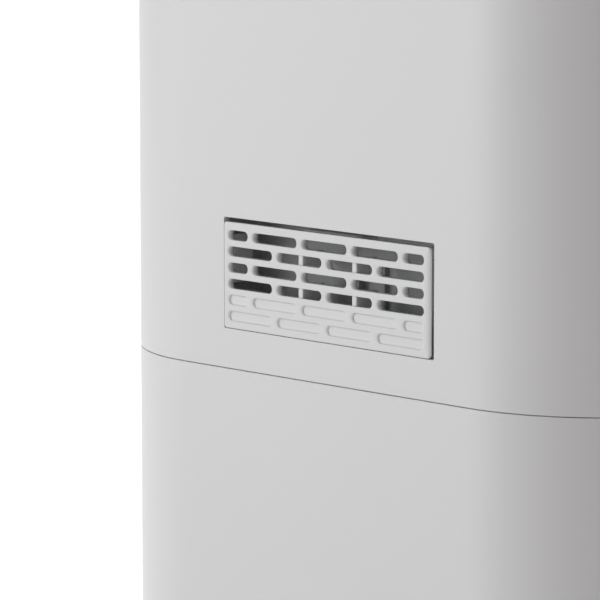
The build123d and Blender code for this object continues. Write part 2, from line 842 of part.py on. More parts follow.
def ear_places():
    return [(compressor_x + ear_circle * math.cos(math.radians(angle)),
             compressor_y + ear_circle * math.sin(math.radians(angle))) for angle in (90, 210, 330)]


# A copper can, spun down to a neck at both ends
def spun_can(radius, z0, z1, x, y):
    profile = Polyline((0, z0), (can_neck, z0), (radius, z0 + can_taper), (radius, z1 - can_taper),
                       (can_neck, z1), (0, z1), (0, z0))
    return Pos(x, y, 0) * revolve(Plane.XZ * make_face(profile), Axis.Z)


# A pressed steel shell with a bevelled foot and a domed top
def compressor_shell():
    radius, dome = compressor_radius, compressor_dome
    z0, z1 = compressor_bottom, compressor_top
    dome_radius = (radius * radius + dome * dome) / (2 * dome)
    lean = math.asin(radius / dome_radius) / 2
    crown = (dome_radius * math.sin(lean), z1 - dome_radius * (1 - math.cos(lean)))
    bevel = dome / 2
    profile = Polyline((0, z1), (0, z0), (radius - bevel, z0), (radius, z0 + bevel), (radius, z1 - dome))
    profile += ThreePointArc((radius, z1 - dome), crown, (0, z1))
    return Pos(compressor_x, compressor_y, 0) * revolve(Plane.XZ * make_face(profile), Axis.Z)


def make_compressor():
    shell = compressor_shell()
    arm_length = ear_circle - compressor_radius / 2
    arm_centre = Pos(compressor_x, compressor_y, compressor_bottom + ear_thickness / 2)
    for x, y in ear_places():
        angle = math.degrees(math.atan2(y - compressor_y, x - compressor_x))
        arm = Pos(ear_circle - arm_length / 2, 0, 0) * Box(arm_length, 2 * ear_radius, ear_thickness)
        shell += arm_centre * Rot(0, 0, angle) * arm
        shell += rod_z(ear_radius, compressor_bottom, compressor_bottom + ear_thickness, x, y)
    for x, y in ear_places():
        shell -= rod_z(bolt_radius + pin_gap, compressor_bottom - cut_over,
                       compressor_bottom + ear_thickness + cut_over, x, y)
    shell += rod_x(stub_radius, compressor_x, compressor_x + compressor_radius + stub_reach,
                   accumulator_y, suction_z)
    return shell + rod_z(stub_radius, compressor_top - 2 * compressor_dome, compressor_top + stub_reach,
                         discharge_x, compressor_y)


def make_compressor_feet():
    rings = []
    for x, y in ear_places():
        ring = rod_z(ear_radius, deck_top, compressor_bottom, x, y)
        ring -= rod_z(bolt_radius + pin_gap, deck_top - cut_over, compressor_bottom + cut_over, x, y)
        rings.append(ring)
    return rings


def make_compressor_bolts():
    ear_top = compressor_bottom + ear_thickness
    bolts = []
    for x, y in ear_places():
        shank = rod_z(bolt_radius, deck_top, ear_top + bolt_head_height / 2, x, y)
        head = extrude(Pos(x, y, ear_top) * RegularPolygon(bolt_head_radius, 6), bolt_head_height)
        bolts.append(shank + head)
    return bolts


def make_accumulator():
    return spun_can(accumulator_radius, accumulator_bottom, accumulator_top, accumulator_x, accumulator_y)


def make_suction_pipe():
    z = row_heights(0)[-1]
    from_coil = [(-coil_end, evaporator_y, z), (suction_x, evaporator_y, z), (suction_x, accumulator_y, z),
                 (accumulator_x, accumulator_y, z), (accumulator_x, accumulator_y, accumulator_top)]
    stub_x = compressor_x + compressor_radius + stub_reach
    to_compressor = [(accumulator_x, accumulator_y, accumulator_bottom),
                     (accumulator_x, accumulator_y, suction_z), (stub_x, accumulator_y, suction_z)]
    return [pipe(from_coil, pipe_radius, pipe_bend), pipe(to_compressor, pipe_radius, pipe_bend)]


def make_discharge_pipe():
    z = row_heights(row_stagger)[-1]
    route = [(discharge_x, compressor_y, compressor_top + stub_reach), (discharge_x, compressor_y, z),
             (discharge_x, condenser_y, z), (-coil_end, condenser_y, z)]
    return pipe(route, pipe_radius, pipe_bend)


def drier_bottom():
    return row_heights(row_stagger)[0] + drier_lift


def make_filter_drier():
    z0 = drier_bottom()
    drier = spun_can(drier_radius, z0, z0 + drier_height, drier_x, drier_y)
    z = row_heights(row_stagger)[0]
    feed = [(-coil_end, condenser_y, z), (drier_x, condenser_y, z), (drier_x, drier_y, z),
            (drier_x, drier_y, z0 + can_taper)]
    return drier + pipe(feed, pipe_radius, pipe_bend)


def make_capillary_tube():
    z0 = drier_bottom() + drier_height
    z1 = z0 + capillary_rise
    z2 = row_heights(0)[0]
    route = [(drier_x, drier_y, z0), (drier_x, drier_y, z1), (drier_x, evaporator_y, z1),
             (drier_x, evaporator_y, z2), (-coil_end, evaporator_y, z2)]
    return pipe(route, capillary_radius, capillary_bend)


# Electronics

def electronics_corner():
    return inner_x - electronics_side_gap - electronics_width, -inner_y + electronics_front_gap


def make_electronics_box():
    x, y = electronics_corner()
    box = block(x, x + electronics_width, y, y + electronics_depth, deck_top, deck_top + electronics_height)
    box -= block(x + electronics_wall, x + electronics_width - electronics_wall, y + electronics_wall,
                 y + electronics_depth - electronics_wall, deck_top + electronics_wall,
                 deck_top + electronics_height + cut_over)
    inset = electronics_wall + board_margin + board_post
    places = GridLocations(electronics_width - 2 * inset, electronics_depth - 2 * inset, 2, 2)
    centre = Pos(x + electronics_width / 2, y + electronics_depth / 2, deck_top)
    post = Box(board_post, board_post, board_lift, align=(Align.CENTER, Align.CENTER, Align.MIN))
    return box + [centre * place * post for place in places]


def make_electronics_lid():
    x, y = electronics_corner()
    z = deck_top + electronics_height
    lid = block(x, x + electronics_width, y, y + electronics_depth, z, z + electronics_wall)
    inset = electronics_wall + fit_gap
    return lid + block(x + inset, x + electronics_width - inset, y + inset, y + electronics_depth - inset,
                       z - electronics_wall, z)


def make_power_board():
    x, y = electronics_corner()
    inset = electronics_wall + board_margin
    z0 = deck_top + board_lift
    board = block(x + inset, x + electronics_width - inset, y + inset, y + electronics_depth - inset,
                  z0, z0 + board_thickness)
    relay_x = x + electronics_width - inset - capacitor_radius
    for i in range(3):
        relay_y = y + inset + (i + 0.5) * (electronics_depth - 2 * inset) / 3
        board += Pos(relay_x, relay_y, z0 + board_thickness + board_lift / 2) * Box(
            capacitor_radius, capacitor_radius / 2, board_lift)
    return board


def make_run_capacitor():
    x, y = electronics_corner()
    x0 = x + electronics_wall + 2 * board_margin
    z = deck_top + board_lift + board_thickness + capacitor_radius + seat_gap
    can = rod_x(capacitor_radius, x0, x0 + capacitor_length, y + electronics_depth / 2, z)
    return chamfer(can.edges().filter_by(GeomType.CIRCLE), electronics_wall)


# Top cover with the outlet, the handle and the controls

def handle_groove(grow, z0, z1):
    side = handle_span / 2
    arm_half = handle_arm / 2 + slide_gap + grow
    front = handle_pivot_y - handle_height / 2 - slide_gap - grow
    rear = handle_bar_y + arm_half
    arm = block(side - arm_half, side + arm_half, front, rear, z0, z1)
    bar = block(-side, side, handle_bar_y - arm_half, rear, z0, z1)
    finger = block(-finger_width / 2 - grow, finger_width / 2 + grow,
                   handle_bar_y - arm_half - finger_depth, handle_bar_y, z0, z1)
    return bar + mirrored_x(arm) + finger


def button_places():
    return [((i - (button_count - 1) / 2) * button_pitch, control_centre_y) for i in range(button_count)]


def control_outline(grow):
    return Pos(0, control_centre_y) * RectangleRounded(
        control_width + 2 * grow, control_depth + 2 * grow, control_corner + grow)


def make_top_cover():
    lap_inset = shell_wall + fit_gap
    cover = cabinet_prism(0, housing_top, cover_top)
    cover = fillet(cover.faces().sort_by(Axis.Z)[-1].edges(), cover_edge_round)
    cover += cabinet_prism(lap_inset, housing_top - cover_lap, housing_top)
    cover -= cabinet_prism(lap_inset + cover_lap_wall, housing_top - cover_lap - cut_over, cover_under)
    groove_bottom = cover_top - groove_depth
    cover += handle_groove(groove_wall, groove_bottom - groove_floor, cover_under)
    cover -= handle_groove(0, groove_bottom, cover_top + cut_over)
    pin_reach = handle_span / 2 + handle_arm / 2 + handle_pin_length + slide_gap
    cover -= rod_x(handle_pin_radius + pin_gap, -pin_reach, -handle_span / 2, handle_pivot_y, handle_z)
    cover -= rod_x(handle_pin_radius + pin_gap, handle_span / 2, pin_reach, handle_pivot_y, handle_z)
    cover += block(-outlet_half_x - collar_wall, outlet_half_x + collar_wall, outlet_y0 - collar_wall,
                   outlet_y1 + collar_wall, collar_bottom, cover_under)
    cover -= block(-outlet_half_x, outlet_half_x, outlet_y0, outlet_y1, collar_bottom - cut_over,
                   cover_top + cut_over)
    bore_reach = outlet_half_x + collar_wall + cut_over
    cover -= rod_x(louvre_pin_radius + pin_gap, -bore_reach, bore_reach, hinge_y, hinge_z)
    pad = extrude(Plane.XY.offset(control_pad_bottom) * control_outline(control_pad_margin),
                  cover_under - control_pad_bottom)
    post = Box(board_post, board_post, control_board_drop, align=(Align.CENTER, Align.CENTER, Align.MAX))
    inset = control_corner + board_post
    posts = GridLocations(control_width - 2 * inset, control_depth - board_post, 2, 2)
    cover += [pad] + [Pos(0, control_centre_y, control_pad_bottom) * place * post for place in posts]
    cover -= extrude(Plane.XY.offset(control_pocket) * control_outline(fit_gap), control_thickness + cut_over)
    for x, y in button_places():
        cover -= rod_z(button_radius + fit_gap, control_pad_bottom - cut_over, cover_top + cut_over, x, y)
    return cover


def make_louvre():
    half = louvre_width / 2
    front = outlet_centre_y - louvre_depth / 2
    under = cover_top - louvre_thickness
    flap = block(-half, half, front, hinge_y, under, cover_top)
    flap += rod_x(louvre_barrel_radius, -half, half, hinge_y, hinge_z)
    pin_reach = half + slide_gap + collar_wall
    flap += rod_x(louvre_pin_radius, -pin_reach, pin_reach, hinge_y, hinge_z)
    for i in range(louvre_vanes):
        x = (i - (louvre_vanes - 1) / 2) * louvre_width / louvre_vanes
        flap += block(x - louvre_vane / 2, x + louvre_vane / 2, front + louvre_vane_setback, hinge_y,
                      under - louvre_vane_drop, under)
    return flap


def make_outlet_guard():
    half = outlet_half_x - fit_gap
    y0 = outlet_y0 + fit_gap
    y1 = outlet_y1 - fit_gap
    face = Pos(0, (y0 + y1) / 2) * Rectangle(2 * half, y1 - y0)
    pitch = (2 * (half - guard_border) + guard_bar) / guard_bars
    gaps = GridLocations(pitch, 0, guard_bars, 1) * Rectangle(pitch - guard_bar, y1 - y0 - 2 * guard_border)
    face -= [Pos(0, (y0 + y1) / 2) * gap for gap in gaps]
    return extrude(Plane.XY.offset(collar_bottom) * face, guard_thickness)


def make_carry_handle():
    side = handle_span / 2
    z0 = handle_z - handle_height / 2
    z1 = handle_z + handle_height / 2
    rear = handle_bar_y + handle_arm / 2
    bow = block(-side - handle_arm / 2, side + handle_arm / 2, handle_pivot_y, rear, z0, z1)
    bow -= block(-side + handle_arm / 2, side - handle_arm / 2, handle_pivot_y - cut_over,
                 handle_bar_y - handle_arm / 2, z0 - cut_over, z1 + cut_over)
    corners = bow.edges().filter_by(Axis.Z).group_by(Axis.Y)[-1]
    bow = fillet(corners, handle_corner)
    for sign in (-1, 1):
        x = sign * side
        bow += rod_x(handle_height / 2, x - handle_arm / 2, x + handle_arm / 2, handle_pivot_y, handle_z)
        pin = x + sign * (handle_arm / 2 + handle_pin_length / 2)
        bow += rod_x(handle_pin_radius, pin - handle_pin_length / 2, pin + handle_pin_length / 2,
                     handle_pivot_y, handle_z)
    return bow


def make_control_panel():
    plate = extrude(Plane.XY.offset(control_pocket) * control_outline(0), control_thickness)
    for x, y in button_places():
        plate -= rod_z(button_radius + fit_gap, control_pocket - cut_over, cover_top + cut_over, x, y)
    return plate


def make_button(x, y):
    flange_top = control_pad_bottom - fit_gap
    cap = rod_z(button_radius, flange_top - button_flange, cover_top + button_proud, x, y)
    cap = chamfer(cap.edges().group_by(Axis.Z)[-1], button_edge)
    width = 2 * (button_radius + button_rim)
    return cap + Pos(x, y, flange_top - button_flange / 2) * Box(width, width, button_flange)


def make_control_board():
    inset = control_corner
    board = Pos(0, control_centre_y, board_top - board_thickness / 2) * Box(
        control_width - 2 * inset, control_depth, board_thickness)
    half = control_switch_width / 2
    for x, y in button_places():
        board += block(x - half, x + half, y - half, y + half, board_top, switch_top)
    return board


nodes = {
    "base_housing": make_base_housing(),
    "rubber_feet": make_rubber_feet(),
    "tank_bucket": make_tank_bucket(),
    "tank_front_panel": make_tank_front_panel(),
    "level_window": make_level_window(),
    "tank_lid": make_tank_lid(),
    "tank_float": make_tank_float(),
    "machine_deck": make_machine_deck(),
    "tank_switch": make_tank_switch(),
    "upper_housing": make_upper_housing(),
    "side_vent_cover": make_side_vent_cover(),
    "sensor_box": make_sensor_box(),
    "humidity_sensor": make_humidity_sensor(),
    "rear_grille": make_rear_grille(),
    "filter_frame": make_filter_frame(),
    "filter_mesh": make_filter_mesh(),
    "appliance_inlet": make_appliance_inlet(),
    "inlet_pins": make_inlet_pins(),
    "drip_tray": make_drip_tray(),
    "evaporator_fins": make_coil_fins(evaporator_y0, evaporator_y1, 0),
    "evaporator_tubes": make_coil_tubes(evaporator_y, 0),
    "condenser_fins": make_coil_fins(condenser_y0, condenser_y1, row_stagger),
    "condenser_tubes": make_coil_tubes(condenser_y, row_stagger),
    "coil_bulkhead": make_coil_bulkhead(),
    "fan_scroll": make_fan_scroll(),
    "fan_impeller": make_fan_impeller(),
    "fan_shaft": make_fan_shaft(),
    "fan_motor": make_fan_motor(),
    "outlet_hood": make_outlet_hood(),
    "compressor": make_compressor(),
    "compressor_feet": make_compressor_feet(),
    "compressor_bolts": make_compressor_bolts(),
    "accumulator": make_accumulator(),
    "suction_pipe": make_suction_pipe(),
    "discharge_pipe": make_discharge_pipe(),
    "filter_drier": make_filter_drier(),
    "capillary_tube": make_capillary_tube(),
    "electronics_box": make_electronics_box(),
    "electronics_lid": make_electronics_lid(),
    "power_board": make_power_board(),
    "run_capacitor": make_run_capacitor(),
    "top_cover": make_top_cover(),
    "louvre": make_louvre(),
    "outlet_guard": make_outlet_guard(),
    "carry_handle": make_carry_handle(),
    "control_panel": make_control_panel(),
    "control_board": make_control_board(),
}
for name, (x, y) in zip(button_names, button_places()):
    nodes[name] = make_button(x, y)

os.makedirs("parts", exist_ok=True)
for name, shape in nodes.items():
    if isinstance(shape, list):
        shape = Compound(children=shape)
    export_step(shape, f"parts/{name}.step")
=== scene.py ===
import json
import math

import bmesh
import bpy
from mathutils import Euler, Matrix, Vector


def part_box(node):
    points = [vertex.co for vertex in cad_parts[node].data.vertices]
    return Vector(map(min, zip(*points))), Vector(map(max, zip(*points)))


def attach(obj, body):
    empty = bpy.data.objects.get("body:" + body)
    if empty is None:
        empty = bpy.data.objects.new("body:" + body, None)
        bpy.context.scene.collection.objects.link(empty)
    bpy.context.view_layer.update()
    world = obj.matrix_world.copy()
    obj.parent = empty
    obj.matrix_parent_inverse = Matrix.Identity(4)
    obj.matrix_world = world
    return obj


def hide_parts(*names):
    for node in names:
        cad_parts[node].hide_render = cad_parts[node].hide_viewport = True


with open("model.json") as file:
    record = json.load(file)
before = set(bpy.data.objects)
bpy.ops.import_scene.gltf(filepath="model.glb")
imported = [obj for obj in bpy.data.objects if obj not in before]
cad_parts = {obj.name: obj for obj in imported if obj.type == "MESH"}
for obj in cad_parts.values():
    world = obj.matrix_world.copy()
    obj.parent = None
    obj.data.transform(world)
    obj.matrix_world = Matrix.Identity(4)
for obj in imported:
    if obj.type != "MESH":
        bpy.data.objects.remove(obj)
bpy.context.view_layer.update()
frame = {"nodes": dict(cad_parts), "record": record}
print("frame loaded:", len(frame["nodes"]), "nodes")

mm = 0.001
nodeSlot = {part["node"]: part["material_slot"] for part in frame["record"]["subparts"]}
nodeBody = {node: body for body, nodes in frame["record"]["behaviour"]["bodies"].items()
            for node in nodes}


# Materials: colours are sRGB hex, patterns are sized in millimetres

# The linear colour of an sRGB hex code, fully opaque
def hexColour(code):
    channels = [int(code[i:i + 2], 16) / 255 for i in (1, 3, 5)]
    linear = [c / 12.92 if c <= 0.04045 else ((c + 0.055) / 1.055) ** 2.4 for c in channels]
    return linear + [1.0]


# Texture scale for a feature of this size
def perMm(size):
    return 1 / (size * mm)


# One node with its settings, the values of its sockets and the links into them.
# Its first output can lead on into a socket of another node.
def addNode(tree, kind, values=None, links=None, into=None, **settings):
    node = tree.nodes.new(kind)
    for key, value in settings.items():
        setattr(node, key, value)
    for key, value in (values or {}).items():
        node.inputs[key].default_value = value
    for key, source in (links or {}).items():
        tree.links.new(source, node.inputs[key])
    if into is not None:
        tree.links.new(node.outputs[0], into)
    return node


# A plain material, and the link that lays a pattern on the object
def startMaterial(name, colour, metallic=0.0, ior=1.5):
    material = bpy.data.materials.new(name)
    material.use_nodes = True
    tree = material.node_tree
    shader = tree.nodes["Principled BSDF"]
    shader.inputs["Base Color"].default_value = hexColour(colour)
    shader.inputs["Metallic"].default_value = metallic
    shader.inputs["IOR"].default_value = ior
    coords = {"Vector": addNode(tree, "ShaderNodeTexCoord").outputs["Object"]}
    return material, tree, shader, coords


# Injection-moulded ABS: satin, neutral white, with the fine pitting of a spark-eroded mould.
# The real pits are about 0.05 mm; they are drawn at 0.5 mm, as fine as the picture can hold.
def mouldedWhiteAbs():
    material, tree, shader, coords = startMaterial("mouldedWhiteAbs", "#e3e3e3", ior=1.53)
    pits = addNode(tree, "ShaderNodeTexNoise", {"Scale": perMm(0.5), "Detail": 3.0}, coords)
    flow = addNode(tree, "ShaderNodeTexNoise", {"Scale": perMm(60), "Detail": 2.0}, coords)
    plain = shader.inputs["Base Color"].default_value
    tone = addNode(tree, "ShaderNodeMix", {"A": plain, "B": hexColour("#e7e7e7")},
                   {"Factor": flow.outputs["Fac"]}, data_type="RGBA")
    tree.links.new(tone.outputs["Result"], shader.inputs["Base Color"])
    addNode(tree, "ShaderNodeMapRange", {"To Min": 0.38, "To Max": 0.47},
            {"Value": flow.outputs["Fac"]}, shader.inputs["Roughness"])
    addNode(tree, "ShaderNodeBump", {"Distance": 0.01 * mm, "Strength": 0.25},
            {"Height": pits.outputs["Fac"]}, shader.inputs["Normal"])
    return material


# Polypropylene: waxier and greyer than the cabinet, with soft flow marks
def mouldedGreyPolypropylene():
    material, tree, shader, coords = startMaterial("mouldedGreyPolypropylene", "#bcbebf", ior=1.49)
    flow = addNode(tree, "ShaderNodeTexNoise", {"Scale": perMm(25), "Detail": 4.0}, coords)
    grain = addNode(tree, "ShaderNodeTexNoise", {"Scale": perMm(0.8), "Detail": 2.0}, coords)
    addNode(tree, "ShaderNodeMapRange", {"To Min": 0.42, "To Max": 0.58},
            {"Value": flow.outputs["Fac"]}, shader.inputs["Roughness"])
    addNode(tree, "ShaderNodeBump", {"Distance": 0.02 * mm, "Strength": 0.4},
            {"Height": grain.outputs["Fac"]}, shader.inputs["Normal"])
    return material


# Dark grey ABS of inner mouldings: a matt, pitted face
def mouldedDarkAbs():
    material, tree, shader, coords = startMaterial("mouldedDarkAbs", "#3a3b3d", ior=1.53)
    grain = addNode(tree, "ShaderNodeTexNoise", {"Scale": perMm(0.7), "Detail": 3.0}, coords)
    addNode(tree, "ShaderNodeMapRange", {"To Min": 0.5, "To Max": 0.62},
            {"Value": grain.outputs["Fac"]}, shader.inputs["Roughness"])
    addNode(tree, "ShaderNodeBump", {"Distance": 0.03 * mm, "Strength": 0.5},
            {"Height": grain.outputs["Fac"]}, shader.inputs["Normal"])
    return material


# Smoke-blue styrene of the bucket: see-through, glossy, a little wavy from moulding
def smokeStyrene():
    material, tree, shader, coords = startMaterial("smokeStyrene", "#c3d0d8", ior=1.59)
    shader.inputs["Transmission Weight"].default_value = 0.75
    wave = addNode(tree, "ShaderNodeTexNoise", {"Scale": perMm(18), "Detail": 1.0}, coords)
    addNode(tree, "ShaderNodeMapRange", {"To Min": 0.1, "To Max": 0.2},
            {"Value": wave.outputs["Fac"]}, shader.inputs["Roughness"])
    addNode(tree, "ShaderNodeBump", {"Distance": 0.15 * mm, "Strength": 0.3},
            {"Height": wave.outputs["Fac"]}, shader.inputs["Normal"])
    return material


# Clear acrylic of the level window and lamps: polished, almost colourless
def clearAcrylic():
    material, tree, shader, coords = startMaterial("clearAcrylic", "#dce9ee", ior=1.49)
    shader.inputs["Transmission Weight"].default_value = 0.9
    haze = addNode(tree, "ShaderNodeTexNoise", {"Scale": perMm(6), "Detail": 2.0}, coords)
    addNode(tree, "ShaderNodeMapRange", {"To Min": 0.02, "To Max": 0.1},
            {"Value": haze.outputs["Fac"]}, shader.inputs["Roughness"])
    return material


# Acrylic overlay painted black on its back: deep black under a hard gloss, with faint wipe marks
def backPaintedAcrylic():
    material, tree, shader, coords = startMaterial("backPaintedAcrylic", "#141517", ior=1.49)
    wipes = addNode(tree, "ShaderNodeTexNoise",
                    {"Scale": perMm(14), "Detail": 5.0, "Distortion": 0.6}, coords)
    addNode(tree, "ShaderNodeMapRange", {"To Min": 0.05, "To Max": 0.16},
            {"Value": wipes.outputs["Fac"]}, shader.inputs["Roughness"])
    return material


# Button caps: fine-grained light grey ABS
def mouldedButtonAbs():
    material, tree, shader, coords = startMaterial("mouldedButtonAbs", "#c4c5c6", ior=1.53)
    grain = addNode(tree, "ShaderNodeTexNoise", {"Scale": perMm(0.4), "Detail": 2.0}, coords)
    addNode(tree, "ShaderNodeMapRange", {"To Min": 0.33, "To Max": 0.45},
            {"Value": grain.outputs["Fac"]}, shader.inputs["Roughness"])
    addNode(tree, "ShaderNodeBump", {"Distance": 0.01 * mm, "Strength": 0.4},
            {"Height": grain.outputs["Fac"]}, shader.inputs["Normal"])
    return material


# Closed-cell foam of the float: pale, with small round cells
def closedCellFoam():
    material, tree, shader, coords = startMaterial("closedCellFoam", "#eee7cd", ior=1.45)
    cells = addNode(tree, "ShaderNodeTexVoronoi", {"Scale": perMm(1.2)}, coords)
    addNode(tree, "ShaderNodeMapRange", {"To Min": 0.7, "To Max": 0.9},
            {"Value": cells.outputs["Distance"]}, shader.inputs["Roughness"])
    addNode(tree, "ShaderNodeBump", {"Distance": 0.12 * mm, "Strength": 0.6},
            {"Height": cells.outputs["Distance"]}, shader.inputs["Normal"])
    return material


# Nylon monofilament of the filter net: dark, with a thread's sheen
def nylonMonofilament():
    material, tree, shader, coords = startMaterial("nylonMonofilament", "#2e3032", ior=1.53)
    fluff = addNode(tree, "ShaderNodeTexNoise", {"Scale": perMm(3), "Detail": 4.0}, coords)
    addNode(tree, "ShaderNodeMapRange", {"To Min": 0.3, "To Max": 0.6},
            {"Value": fluff.outputs["Fac"]}, shader.inputs["Roughness"])
    shader.inputs["Sheen Weight"].default_value = 0.2
    return material


# Rolled aluminium fin stock: bright, with rolling lines along the fin
def rolledAluminium():
    material, tree, shader, coords = startMaterial("rolledAluminium", "#d9dadb", metallic=1.0)
    along = addNode(tree, "ShaderNodeMapping", {"Scale": (1.0, 1.0, 0.05)}, coords)
    lines = addNode(tree, "ShaderNodeTexNoise", {"Scale": perMm(0.6), "Detail": 3.0},
                    {"Vector": along.outputs["Vector"]})
    addNode(tree, "ShaderNodeMapRange", {"To Min": 0.25, "To Max": 0.45},
            {"Value": lines.outputs["Fac"]}, shader.inputs["Roughness"])
    addNode(tree, "ShaderNodeBump", {"Distance": 0.01 * mm, "Strength": 0.4},
            {"Height": lines.outputs["Fac"]}, shader.inputs["Normal"])
    return material


# Drawn copper tube, tarnished a little in patches
def drawnCopper():
    material, tree, shader, coords = startMaterial("drawnCopper", "#d6906a", metallic=1.0)
    tarnish = addNode(tree, "ShaderNodeTexNoise", {"Scale": perMm(22), "Detail": 5.0}, coords)
    plain = shader.inputs["Base Color"].default_value
    tone = addNode(tree, "ShaderNodeMix", {"A": plain, "B": hexColour("#9a5c3f")},
                   {"Factor": tarnish.outputs["Fac"]}, data_type="RGBA")
    tree.links.new(tone.outputs["Result"], shader.inputs["Base Color"])
    addNode(tree, "ShaderNodeMapRange", {"To Min": 0.22, "To Max": 0.5},
            {"Value": tarnish.outputs["Fac"]}, shader.inputs["Roughness"])
    return material


# Black enamel sprayed on pressed steel: half gloss with orange peel
def blackEnamel():
    material, tree, shader, coords = startMaterial("blackEnamel", "#1c1c1e")
    peel = addNode(tree, "ShaderNodeTexNoise", {"Scale": perMm(2.5), "Detail": 1.0}, coords)
    addNode(tree, "ShaderNodeMapRange", {"To Min": 0.22, "To Max": 0.36},
            {"Value": peel.outputs["Fac"]}, shader.inputs["Roughness"])
    addNode(tree, "ShaderNodeBump", {"Distance": 0.05 * mm, "Strength": 0.4},
            {"Height": peel.outputs["Fac"]}, shader.inputs["Normal"])
    return material


# Zinc-plated steel: grey, with the crystal patches of the plating
def zincPlatedSteel():
    material, tree, shader, coords = startMaterial("zincPlatedSteel", "#b9bbbd", metallic=1.0)
    spangle = addNode(tree, "ShaderNodeTexVoronoi", {"Scale": perMm(7)}, coords)
    addNode(tree, "ShaderNodeMapRange", {"To Min": 0.28, "To Max": 0.48},
            {"Value": spangle.outputs["Color"]}, shader.inputs["Roughness"])
    return material


# Moulded rubber of the feet and grommets: matt black, slightly dusty
def mouldedRubber():
    material, tree, shader, coords = startMaterial("mouldedRubber", "#262626", ior=1.52)
    dust = addNode(tree, "ShaderNodeTexNoise", {"Scale": perMm(4), "Detail": 4.0}, coords)
    addNode(tree, "ShaderNodeMapRange", {"To Min": 0.66, "To Max": 0.88},
            {"Value": dust.outputs["Fac"]}, shader.inputs["Roughness"])
    addNode(tree, "ShaderNodeBump", {"Distance": 0.04 * mm, "Strength": 0.4},
            {"Height": dust.outputs["Fac"]}, shader.inputs["Normal"])
    return material


# Glass-epoxy board under a pale grey lacquer, with a trace of its weave
def lacqueredGlassEpoxy():
    material, tree, shader, coords = startMaterial("lacqueredGlassEpoxy", "#a9abaa", ior=1.55)
    weave = addNode(tree, "ShaderNodeTexWave", {"Scale": perMm(6), "Distortion": 1.0}, coords)
    addNode(tree, "ShaderNodeMapRange", {"To Min": 0.3, "To Max": 0.45},
            {"Value": weave.outputs["Fac"]}, shader.inputs["Roughness"])
    addNode(tree, "ShaderNodeBump", {"Distance": 0.01 * mm, "Strength": 0.3},
            {"Height": weave.outputs["Fac"]}, shader.inputs["Normal"])
    return material


# Drawn aluminium can, with fine lines along its draw
def drawnAluminium():
    material, tree, shader, coords = startMaterial("drawnAluminium", "#c9cacb", metallic=1.0)
    along = addNode(tree, "ShaderNodeMapping", {"Scale": (0.05, 1.0, 1.0)}, coords)
    lines = addNode(tree, "ShaderNodeTexNoise", {"Scale": perMm(0.5), "Detail": 2.0},
                    {"Vector": along.outputs["Vector"]})
    addNode(tree, "ShaderNodeMapRange", {"To Min": 0.24, "To Max": 0.4},
            {"Value": lines.outputs["Fac"]}, shader.inputs["Roughness"])
    return material


finishes = {
    "white_abs": mouldedWhiteAbs(),
    "grey_pp": mouldedGreyPolypropylene(),
    "dark_abs": mouldedDarkAbs(),
    "clear_tank": smokeStyrene(),
    "clear_window": clearAcrylic(),
    "black_gloss": backPaintedAcrylic(),
    "button_grey": mouldedButtonAbs(),
    "float_foam": closedCellFoam(),
    "filter_nylon": nylonMonofilament(),
    "fin_aluminium": rolledAluminium(),
    "copper_tube": drawnCopper(),
    "black_paint": blackEnamel(),
    "zinc_steel": zincPlatedSteel(),
    "rubber": mouldedRubber(),
    "circuit_board": lacqueredGlassEpoxy(),
    "capacitor_can": drawnAluminium(),
}
print("materials made:", len(finishes))


# Shared mesh work: angles in degrees, lengths in millimetres

meshRules = {"bevelSteps": 2, "bevelAngle": 35, "sharpAngle": 40, "weld": 0.002, "flatAngle": 0.5,
             "turnSteps": 72}


def linkObject(name, data):
    thing = bpy.data.objects.new(name, data)
    bpy.context.scene.collection.objects.link(thing)
    return thing


# Turns the modifiers' result into a plain mesh
def bakeModifiers(piece):
    graph = bpy.context.evaluated_depsgraph_get()
    baked = bpy.data.meshes.new_from_object(piece.evaluated_get(graph))
    piece.modifiers.clear()
    piece.data = baked


def roundEdges(piece, width, angle=meshRules["bevelAngle"]):
    bevel = piece.modifiers.new("roundedEdge", "BEVEL")
    bevel.width = width * mm
    bevel.segments = meshRules["bevelSteps"]
    bevel.limit_method = "ANGLE"
    bevel.angle_limit = math.radians(angle)
    bevel.miter_outer = "MITER_ARC"


def smoothShade(piece):
    piece.data.shade_smooth()
    weighted = piece.modifiers.new("flatFaces", "WEIGHTED_NORMAL")
    weighted.weight = 100
    weighted.keep_sharp = True


# The piece rides with the node's body, stands for the node and takes its finish, or another one
def dress(piece, node, slot=None):
    slot = slot or nodeSlot[node]
    piece.data.materials.clear()
    piece.data.materials.append(finishes[slot])
    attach(piece, nodeBody[node])
    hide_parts(node)


# A finished piece from a bmesh, with its edges rounded if a width is given
def finishShape(name, shape, node, width=0.0, angle=meshRules["bevelAngle"]):
    bmesh.ops.recalc_face_normals(shape, faces=shape.faces)
    mesh = bpy.data.meshes.new(name)
    shape.to_mesh(mesh)
    shape.free()
    piece = linkObject(name, mesh)
    if width:
        roundEdges(piece, width, angle)
    smoothShade(piece)
    bakeModifiers(piece)
    dress(piece, node)


def addLoop(shape, points):
    return [shape.verts.new(Vector(point) * mm) for point in points]


def bridgeLoops(shape, outer, inner):
    for i in range(len(outer)):
        shape.faces.new((outer[i - 1], outer[i], inner[i], inner[i - 1]))


# Joins each loop to the next, and the last to the first
def closeLoops(shape, loops):
    for i in range(len(loops)):
        bridgeLoops(shape, loops[i - 1], loops[i])


# Loops through the given points, each joined to the next
def addRings(shape, rings):
    loops = [addLoop(shape, ring) for ring in rings]
    for upper, lower in zip(loops, loops[1:]):
        bridgeLoops(shape, upper, lower)
    return loops


def addBlock(shape, low, high):
    centre = [(a + b) / 2 * mm for a, b in zip(low, high)]
    size = [(b - a) * mm for a, b in zip(low, high)]
    place = Matrix.Translation(centre) @ Matrix.Diagonal((*size, 1))
    bmesh.ops.create_cube(shape, size=1, matrix=place)


